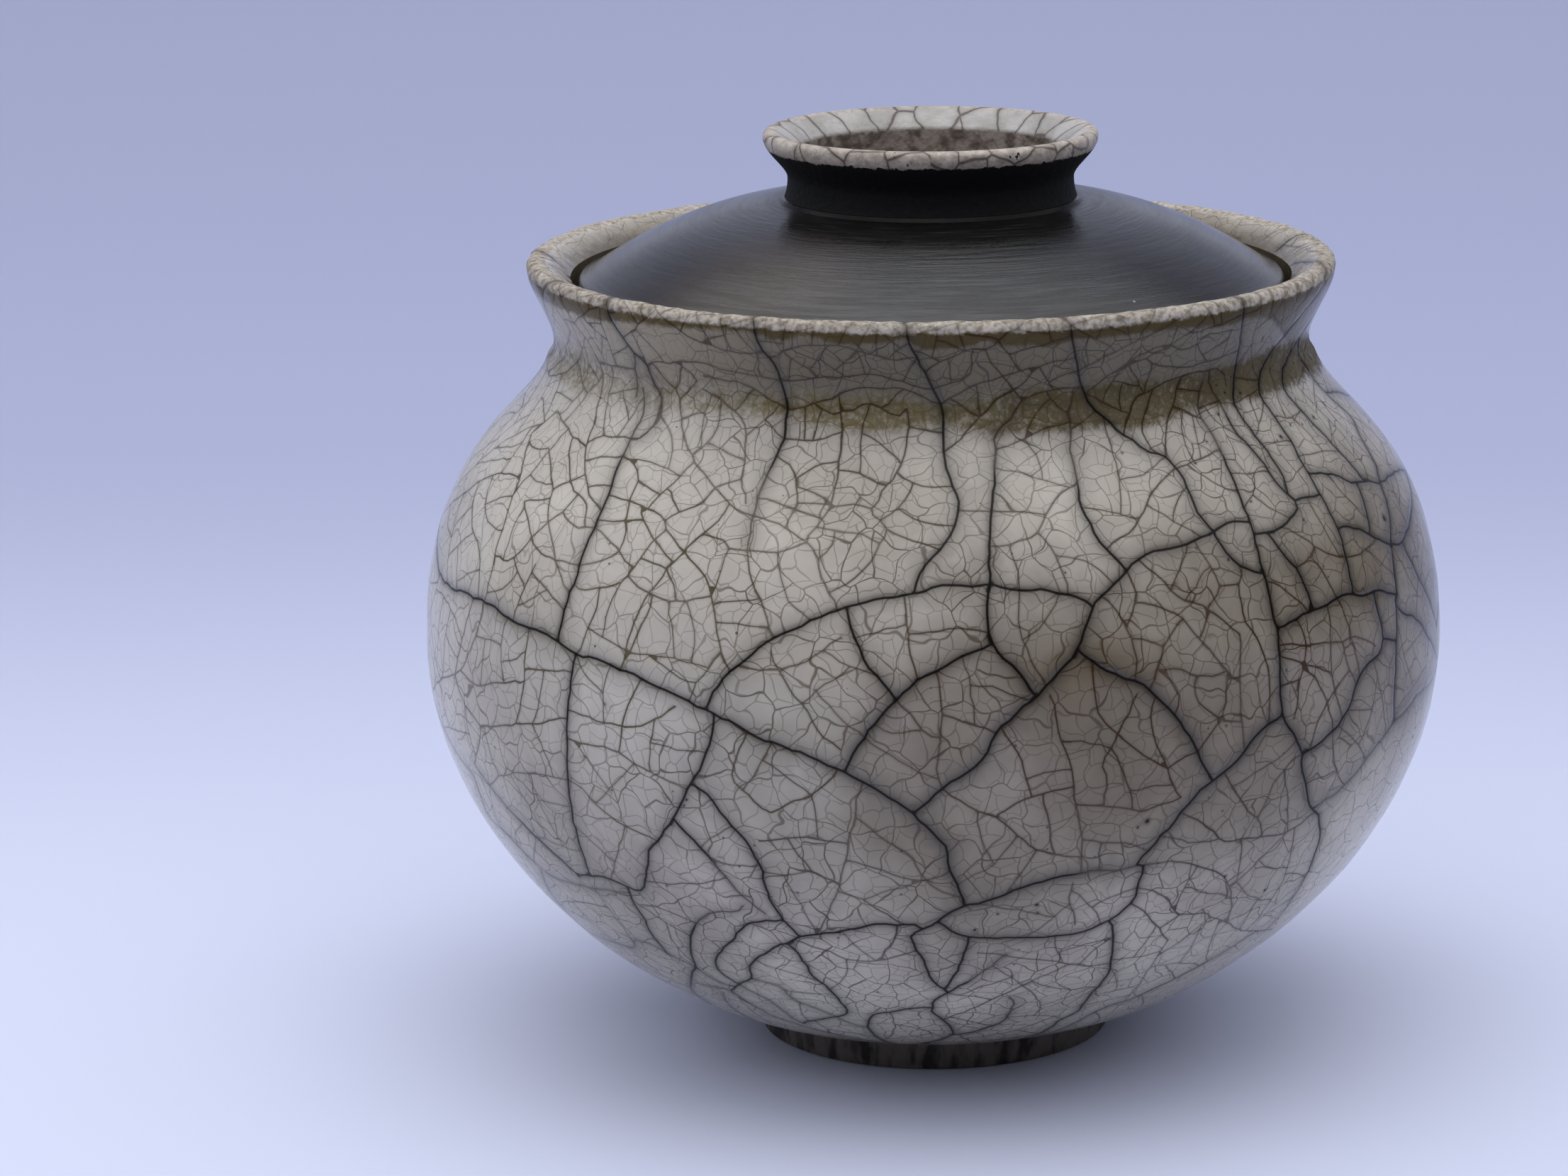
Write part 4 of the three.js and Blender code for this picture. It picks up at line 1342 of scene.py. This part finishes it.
# The wheel: a sheet of rows along an outline and columns round the axis, bent round and closed.
wheel = bpy.data.node_groups.new("turn_on_wheel", "GeometryNodeTree")
wheel.interface.new_socket("Outline", in_out="INPUT", socket_type="NodeSocketGeometry")
wheel_rows = wheel.interface.new_socket("Rows", in_out="INPUT", socket_type="NodeSocketInt")
wheel_columns = wheel.interface.new_socket("Columns", in_out="INPUT", socket_type="NodeSocketInt")
wheel_material = wheel.interface.new_socket("Material", in_out="INPUT", socket_type="NodeSocketMaterial")
wheel.interface.new_socket("Piece", in_out="OUTPUT", socket_type="NodeSocketGeometry")
given = wheel.nodes.new("NodeGroupInput")
rows = given.outputs["Rows"]
sheet = node(wheel, "GeometryNodeMeshGrid", {"Vertices X": rows, "Vertices Y": given.outputs["Columns"]})
on_sheet = node(wheel, "SeparateXYZ", {0: node(wheel, "GeometryNodeInputPosition")}, output=None)
last_row = node(wheel, "Math", {0: rows, 1: 1.0}, operation="SUBTRACT")
row = node(wheel, "Math", {0: on_sheet[0], 1: 0.5}, operation="ADD")
row = node(wheel, "Math", {0: row, 1: last_row}, operation="MULTIPLY")
row = node(wheel, "Math", {0: row}, operation="ROUND")
turn = node(wheel, "Math", {0: on_sheet[1], 1: 0.5}, operation="ADD")
turn = node(wheel, "Math", {0: turn, 1: 2 * math.pi}, operation="MULTIPLY")
on_outline = node(wheel, "GeometryNodeSampleIndex", {
    "Geometry": given.outputs["Outline"], "Index": row,
    "Value": node(wheel, "GeometryNodeInputPosition"),
}, data_type="FLOAT_VECTOR")
on_outline = node(wheel, "SeparateXYZ", {0: on_outline}, output=None)
sine = node(wheel, "Math", {0: turn}, operation="SINE")
cosine = node(wheel, "Math", {0: turn}, operation="COSINE")
side = node(wheel, "Math", {0: on_outline[0], 1: sine}, operation="MULTIPLY")
front = node(wheel, "Math", {0: cosine, 1: -1.0}, operation="MULTIPLY")
front = node(wheel, "Math", {0: on_outline[0], 1: front}, operation="MULTIPLY")
round_place = node(wheel, "CombineXYZ", {0: side, 1: front, 2: on_outline[2]})
chart_place = node(wheel, "CombineXYZ", {0: turn, 1: row, 2: 0.0})
piece = node(wheel, "GeometryNodeStoreNamedAttribute", {
    "Geometry": sheet, "Name": "wheel", "Value": chart_place,
}, data_type="FLOAT2", domain="CORNER")
piece = node(wheel, "GeometryNodeSetPosition", {"Geometry": piece, "Position": round_place})
piece = node(wheel, "GeometryNodeMergeByDistance", {"Geometry": piece, "Distance": 1e-05})
piece = node(wheel, "GeometryNodeFlipFaces", {"Mesh": piece})
piece = node(wheel, "GeometryNodeSetShadeSmooth", {"Geometry": piece})
piece = node(wheel, "GeometryNodeRealizeInstances", {"Geometry": piece})
piece = node(wheel, "GeometryNodeSetMaterial", {
    "Geometry": piece, "Material": given.outputs["Material"],
})
wheel.links.new(piece, wheel.nodes.new("NodeGroupOutput").inputs[0])


def turned(name, outline, columns, material):
    """A turned piece: the wheel's tree carries an outline (radius, height) in mm round the axis."""
    mesh = bpy.data.meshes.new(name)
    mesh.from_pydata([(r * 0.001, 0.0, z * 0.001) for r, z in outline], [], [])
    made = bpy.data.objects.new(name, mesh)
    scene.collection.objects.link(made)
    turning = made.modifiers.new("turning", "NODES")
    turning.node_group = wheel
    turning[wheel_rows.identifier] = len(outline)
    turning[wheel_columns.identifier] = columns + 1
    turning[wheel_material.identifier] = material
    solid = bpy.data.meshes.new_from_object(made.evaluated_get(bpy.context.evaluated_depsgraph_get()))
    made.modifiers.clear()
    made.data = solid
    solid.name = name
    bpy.data.meshes.remove(mesh)
    solid.set_sharp_from_angle(angle=math.radians(40))
    return made


# Bare stoneware, smoked in the reduction bin: brown-black, matt, with darker runs down it.
foot_clay, tree, shader, place = new_material("smoked_bare_clay")
stretched = node(tree, "VectorMath", {0: place, 1: (1.0, 1.0, 0.25)}, operation="MULTIPLY")
runs = node(tree, "TexNoise", {"Vector": stretched, "Scale": 1 / 2.86, "Detail": 4.0})
colour = node(tree, "Mix", {
    0: node(tree, "MapRange", {0: runs, 1: 0.4, 2: 0.62}, **eased), 6: srgb("#6d655c"),
    7: srgb("#2b2621"),
}, **mixed)
clay_bump = node(tree, "Bump", {
    "Strength": 0.5, "Distance": 0.0006,
    "Height": node(tree, "TexNoise", {"Vector": place, "Scale": 1 / 0.714, "Detail": 3.0}),
})
connect(tree, shader, Base_Color=colour, Roughness=0.75, Normal=clay_bump)
foot_ring = turned("foot_ring_clay", profile(foot_steps, 1.2), wheel_steps, foot_clay)
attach(foot_ring, "jar")
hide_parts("foot_ring")


# Lid. A shallow dome that drops into the gallery, turned, burnished and smoked to a satin charcoal.
# The turning tool's fine rings and a few pale and black specks show on its top.
lid_steps = [
    ("line", (0.0, 151.5), (22.0, 151.5)),
    ("quad", (22.0, 151.5), (39.2, 151.5), (56.4, 138.3)),
    ("line", (56.4, 138.3), (63.8, 138.3)),
    ("line", (63.8, 138.3), (65.4, 139.9)),
    ("line", (65.4, 139.9), (65.4, 142.8)),
    ("quad", (65.4, 142.8), (65.4, 144.4), (63.8, 144.4)),
    ("quad", (63.8, 144.4), (45.8, 156.6), (28.1, 157.72)),
    ("quad", (28.1, 157.72), (28.0, 158.3), (27.6, 158.4)),
    ("line", (27.6, 158.4), (26.6, 158.5)),
    ("line", (26.6, 158.5), (26.4, 157.8)),
    ("line", (26.4, 157.8), (0.0, 157.8)),
]
# Burnished, smoked clay: near black, satin, brown-grey at the front left, partly thinner smoke and partly a
# painted highlight.
# The turning tool's rings are noise drawn out round the axis.
lid_clay, tree, shader, place = new_material("burnished_smoked_clay")
flat = node(tree, "VectorMath", {0: place, 1: (1.0, 1.0, 0.0)}, operation="MULTIPLY")
across = node(tree, "VectorMath", {0: flat}, output="Value", operation="LENGTH")
spoke = node(tree, "VectorMath", {0: flat}, operation="NORMALIZE")
wander = node(tree, "Math", {
    0: node(tree, "TexNoise", {"Vector": place, "Scale": 1 / 33.3, "Detail": 1.0}), 1: 2.0,
}, operation="MULTIPLY")
lift = node(tree, "CombineXYZ", {
    0: 0.0, 1: 0.0, 2: node(tree, "Math", {0: across, 1: wander}, operation="ADD"),
})
streak_place = node(tree, "VectorMath", {
    0: spoke, 1: (3.0, 3.0, 0.0), 2: lift,
}, operation="MULTIPLY_ADD")
streaks = node(tree, "TexNoise", {
    "Vector": streak_place, "Scale": 1 / 0.909, "Detail": 5.0, "Roughness": 0.7,
})
broad = node(tree, "TexNoise", {"Vector": streak_place, "Scale": 1 / 4, "Detail": 3.0, "Roughness": 0.6})
cloud = node(tree, "TexNoise", {"Vector": place, "Scale": 1 / 28.6, "Detail": 4.0})
colour = node(tree, "Mix", {
    0: node(tree, "MapRange", {0: broad, 1: 0.4, 2: 0.65}, **eased), 6: srgb("#151514"),
    7: srgb("#201f1e"),
}, **mixed)
# Brown-grey at the front left: thinner smoke, and a painted highlight of the lid's sheen there.
thin_smoke_and_highlight = node(tree, "VectorMath", {
    0: place, 1: (-32.0, -46.0, 150.0),
}, output="Value", operation="DISTANCE")
thin_smoke_and_highlight = node(tree, "Math", {
    0: thin_smoke_and_highlight, 1: node(tree, "Math", {0: cloud, 1: 26.0}, operation="MULTIPLY"),
}, operation="ADD")
colour = node(tree, "Mix", {
    0: node(tree, "MapRange", {0: thin_smoke_and_highlight, 1: 16.0, 2: 40.0, 3: 0.8, 4: 0.0}, **eased), 6: colour,
    7: srgb("#463d34"),
}, **mixed)
colour = node(tree, "Mix", {
    0: node(tree, "MapRange", {0: streaks, 1: 0.5, 2: 0.72, 3: 0.0, 4: 0.45}, **eased), 6: colour,
    7: srgb("#474340"),
}, **mixed)
colour = node(tree, "Mix", {
    0: node(tree, "MapRange", {0: streaks, 1: 0.42, 2: 0.28, 3: 0.0, 4: 0.6}, **eased), 6: colour,
    7: srgb("#080808"),
}, **mixed)
specks = node(tree, "TexVoronoi", {"Vector": place, "Scale": 1 / 6.0}, output=None)
speck_size = node(tree, "SeparateColor", {0: specks["Color"]}, output=None)
is_speck = node(tree, "Math", {
    0: specks["Distance"],
    1: node(tree, "MapRange", {0: speck_size[0], 1: 0.8, 2: 1.0, 3: 0.0, 4: 0.06}, **eased),
}, operation="LESS_THAN")
speck_tone = node(tree, "Mix", {
    0: node(tree, "Math", {0: speck_size[1], 1: 0.55}, operation="GREATER_THAN"),
    6: srgb("#0a0a0a"), 7: srgb("#a9a49d"),
}, **mixed)
colour = node(tree, "Mix", {
    0: node(tree, "Math", {0: is_speck, 1: 0.85}, operation="MULTIPLY"), 6: colour, 7: speck_tone,
}, **mixed)
ring_bump = node(tree, "Bump", {"Strength": 0.45, "Distance": 0.0003, "Height": streaks})
satin = node(tree, "MapRange", {0: broad, 1: 0.3, 2: 0.7, 3: 0.1, 4: 0.2}, **eased)
sheen = node(tree, "MapRange", {0: streaks, 1: 0.3, 2: 0.7, 3: 0.53, 4: 0.24}, **eased)
# Less sheen round the knob's foot, which darkens the lid there as painted shade.
sheen = node(tree, "Math", {
    0: sheen, 1: node(tree, "MapRange", {0: across, 1: 27.0, 2: 46.0, 3: 0.15, 4: 1.0}, **eased),
}, operation="MULTIPLY")
connect(tree, shader, Base_Color=colour, Roughness=satin, Normal=ring_bump)
connect(tree, shader, IOR=1.62, Specular_IOR_Level=sheen)
lid = turned("lid_burnished", profile(lid_steps, 1.5), wheel_steps, lid_clay)
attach(lid, "lid")
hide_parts("lid")


# Knob. A small flared cup thrown on the lid's crown: matt black outside, its lip and funnel glazed
# white and crackled, with a bare pinkish well in the middle. Joined to the lid while damp.
knob_steps = [
    ("line", (23.8, 157.8), (27.3, 157.8)),
    ("quad", (27.3, 157.8), (26.4, 159.5), (26.4, 162.0)),
    ("cubic", (26.4, 162.0), (26.4, 164.3), (30.9, 166.8), (30.9, 169.5)),
    ("quad", (30.9, 169.5), (30.9, 170.8), (29.5, 170.8)),
    ("cubic", (29.5, 170.8), (28.3, 170.8), (25.8, 169.0), (24.4, 167.4)),
    ("line", (24.4, 167.4), (23.8, 157.8)),
]
# Black smoked clay; the lip and funnel carry white glaze, cracked across, chipped at its lower edge.
# The cracks are the edges of cells laid out in turns round the knob and rows along its outline.
knob_clay, tree, shader, place = new_material("black_clay_white_lip")
wheel_place = node(tree, "UVMap", uv_map="wheel")
sway = node(tree, "TexNoise", {"Vector": place, "Scale": 1 / 8.33, "Detail": 2.0}, output="Color")
spoke = node(tree, "VectorMath", {0: wheel_place, 1: (4.6, 0.045, 0.0)}, operation="MULTIPLY")
spoke = node(tree, "VectorMath", {0: sway, 1: (0.9, 0.3, 0.0), 2: spoke}, operation="MULTIPLY_ADD")
spokes = node(tree, "TexVoronoi", {
    "Vector": spoke, "Scale": 1.0, "Randomness": 0.9,
}, output="Distance", voronoi_dimensions="2D", feature="DISTANCE_TO_EDGE")
chips = node(tree, "TexNoise", {"Vector": place, "Scale": 1 / 1.667, "Detail": 4.0, "Roughness": 0.65})
ragged = node(tree, "Math", {
    0: node(tree, "Math", {0: chips, 1: 0.5}, operation="SUBTRACT"), 1: 1.1,
    2: node(tree, "Attribute", output="Fac", attribute_name="glazed"),
}, operation="MULTIPLY_ADD")
glazed = node(tree, "MapRange", {0: ragged, 1: 0.42, 2: 0.58}, **eased)
tone = node(tree, "TexNoise", {"Vector": place, "Scale": 1 / 6.25, "Detail": 3.0})
white = node(tree, "Mix", {
    0: node(tree, "MapRange", {0: tone, 1: 0.35, 2: 0.65}, **eased), 6: srgb("#c6c3bf"),
    7: srgb("#b0aca7"),
}, **mixed)
white = node(tree, "Mix", {
    0: node(tree, "Attribute", output="Fac", attribute_name="lip"), 6: white,
    7: node(tree, "Mix", {
        0: node(tree, "MapRange", {0: chips, 1: 0.35, 2: 0.65}, **eased), 6: srgb("#d3c8ba"),
        7: srgb("#aea294"),
    }, **mixed),
}, **mixed)
white = node(tree, "Mix", {
    0: node(tree, "MapRange", {0: spokes, 1: 0.02, 2: 0.16, 3: 0.3, 4: 0.0}, **eased), 6: white,
    7: srgb("#7a6c60"),
}, **mixed)
white = node(tree, "Mix", {
    0: node(tree, "MapRange", {0: spokes, 1: 0.012, 2: 0.05, 3: 0.8, 4: 0.0}, **eased), 6: white,
    7: srgb("#4a4039"),
}, **mixed)
bare = node(tree, "Mix", {
    0: node(tree, "MapRange", {
        0: node(tree, "TexNoise", {"Vector": place, "Scale": 1 / 2.86, "Detail": 4.0}), 1: 0.4, 2: 0.62,
    }, **eased),
    6: srgb("#a4988f"), 7: srgb("#6c6159"),
}, **mixed)
white = node(tree, "Mix", {
    0: node(tree, "Attribute", output="Fac", attribute_name="well"), 6: white, 7: bare,
}, **mixed)
soot = node(tree, "Mix", {
    0: node(tree, "MapRange", {
        0: node(tree, "TexNoise", {"Vector": place, "Scale": 1 / 1.111, "Detail": 5.0, "Roughness": 0.7}),
        1: 0.45, 2: 0.75,
    }, **eased),
    6: srgb("#040404"), 7: srgb("#0f0f10"),
}, **mixed)
colour = node(tree, "Mix", {0: glazed, 6: soot, 7: white}, **mixed)
pits = node(tree, "TexNoise", {"Vector": place, "Scale": 1.0, "Detail": 2.0})
pit_zone = node(tree, "MapRange", {0: pits, 1: 0.69, 2: 0.73, 3: 0.0, 4: 1.0}, **eased)
colour = node(tree, "Mix", {
    0: node(tree, "Math", {
        0: pit_zone, 1: node(tree, "Attribute", output="Fac", attribute_name="lip"),
    }, operation="MULTIPLY"),
    6: colour, 7: srgb("#0b0a09"),
}, **mixed)
rough = node(tree, "Bump", {
    "Strength": 0.5, "Distance": 0.0006,
    "Height": node(tree, "TexNoise", {"Vector": place, "Scale": 1 / 1.25, "Detail": 4.0}),
})
matt = node(tree, "MapRange", {0: glazed, 1: 0.0, 2: 1.0, 3: 0.8, 4: 0.35}, **eased)
connect(tree, shader, Base_Color=colour, Roughness=matt, Normal=rough, IOR=1.4)
knob_outline = profile(knob_steps, 0.5)
knob = turned("knob_cup", knob_outline, wheel_steps, knob_clay)
knob_points = np.array([v.co for v in knob.data.vertices]) * 1000
knob_out = np.hypot(knob_points[:, 0], knob_points[:, 1])
knob_row = np.array([np.argmin((knob_outline[:, 0] - r) ** 2 + (knob_outline[:, 1] - z) ** 2)
                     for r, z in zip(knob_out, knob_points[:, 2])])
knob_top = np.argmax(knob_outline[:, 1])
in_funnel = knob_row > knob_top
knob_z = knob_points[:, 2]
add_attribute(knob, "glazed", np.where(in_funnel, 1.0, band(knob_z, 166.5, 168.9)))
add_attribute(knob, "lip", np.where(in_funnel, band(-knob_row, -knob_top - 5.0, -knob_top - 1.0), 1.0))
add_attribute(knob, "well", np.where(in_funnel, 1 - band(knob_z, 166.8, 167.6), 0.0))
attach(knob, "lid")
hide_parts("knob")


# Floor and backdrop. One sheet of pale lavender-blue paper that curves up behind the jar, with painted shade
# a little darker away from it, so the glaze mirrors pale paper low down and a dimmer room above.
paper_half = 2.6
paper_top = 2.2
bend_start = 0.9
bend_radius = 0.7
paper_rows = [(-paper_half, 0.0), (bend_start, 0.0)]
for k in range(1, 17):
    angle = k * math.pi / 32
    rise = bend_radius - bend_radius * math.cos(angle)
    paper_rows.append((bend_start + bend_radius * math.sin(angle), rise))
paper_rows.append((bend_start + bend_radius, paper_top))
paper_mesh = bpy.data.meshes.new("paper_sweep")
paper_points = [(x, y, z) for y, z in paper_rows for x in (-paper_half, paper_half)]
paper_faces = [(2 * k, 2 * k + 1, 2 * k + 3, 2 * k + 2) for k in range(len(paper_rows) - 1)]
paper_mesh.from_pydata(paper_points, [], paper_faces)
paper_mesh.polygons.foreach_set("use_smooth", [True] * len(paper_faces))
paper = bpy.data.objects.new("paper_sweep", paper_mesh)
scene.collection.objects.link(paper)
paper_material, tree, shader, place = new_material("lavender_paper")
right_of, behind, above_floor = node(tree, "SeparateXYZ", {0: place}, output=None)
# Painted shade: the paper darkens towards the back, where the light falls off.
colour = node(tree, "Mix", {
    0: node(tree, "MapRange", {0: behind, 1: -60.0, 2: 560.0}, **eased), 6: srgb("#e2e8ff"),
    7: srgb("#b9bfdd"),
}, **mixed)
# Painted shade makes it dimmer out of the camera's view at the left, at the right and in front, and painted
# light paler up the back.
lean = node(tree, "Math", {0: behind, 1: -0.15}, operation="MULTIPLY")
right = node(tree, "MapRange", {
    0: node(tree, "Math", {0: lean, 1: right_of}, operation="ADD"), 1: 115.0, 2: 340.0,
}, **eased)
left = node(tree, "MapRange", {
    0: node(tree, "Math", {0: lean, 1: right_of}, operation="SUBTRACT"), 1: 180.0, 2: 420.0,
}, **eased)
far_painted_shade = node(tree, "Math", {
    0: node(tree, "MapRange", {0: behind, 1: -250.0, 2: -600.0}, **eased),
    1: node(tree, "Math", {0: left, 1: right}, operation="MAXIMUM"),
}, operation="MAXIMUM")
colour = node(tree, "Mix", {0: far_painted_shade, 6: colour, 7: srgb("#b3b9d2")}, **mixed)
# Painted light: paler up the back.
colour = node(tree, "Mix", {
    0: node(tree, "MapRange", {0: above_floor, 1: 160.0, 2: 420.0}, **eased), 6: colour,
    7: srgb("#f2f4ff"),
}, **mixed)
connect(tree, shader, Base_Color=colour, Roughness=0.9, Specular_IOR_Level=0.1)
paper_mesh.materials.append(paper_material)


# Light. A wide soft box above and a little to the left, in front of the jar, and a bluish room that
# glows most overhead and fades towards the horizon.
def soft_box(name, place, aim, size, power, colour):
    """An area light at a place, turned to aim at a point."""
    data = bpy.data.lights.new(name, "AREA")
    data.shape = "RECTANGLE"
    data.size, data.size_y = size
    data.energy = power
    data.color = srgb(colour)[:3]
    made = bpy.data.objects.new(name, data)
    made.location = place
    made.rotation_euler = (Vector(aim) - Vector(place)).to_track_quat("-Z", "Y").to_euler()
    scene.collection.objects.link(made)


soft_box("soft_box_top", (-0.05, -0.25, 1.6), (0, -0.05, 0.0), (1.6, 1.4), 5.0, "#fffdf8")
world = bpy.data.worlds.new("room")
world.use_nodes = True
tree = world.node_tree
direction = node(tree, "TexCoord", output="Generated")
aim = node(tree, "VectorMath", {
    0: direction, 1: (-0.09, 0.22, 0.97),
}, output="Value", operation="DOT_PRODUCT")
glow = node(tree, "MapRange", {0: aim, 1: -0.05, 2: 0.95, 3: 0.05, 4: 1.42}, **eased)
connect(tree, tree.nodes["Background"], Color=srgb("#f1f3fa"), Strength=glow)
scene.world = world
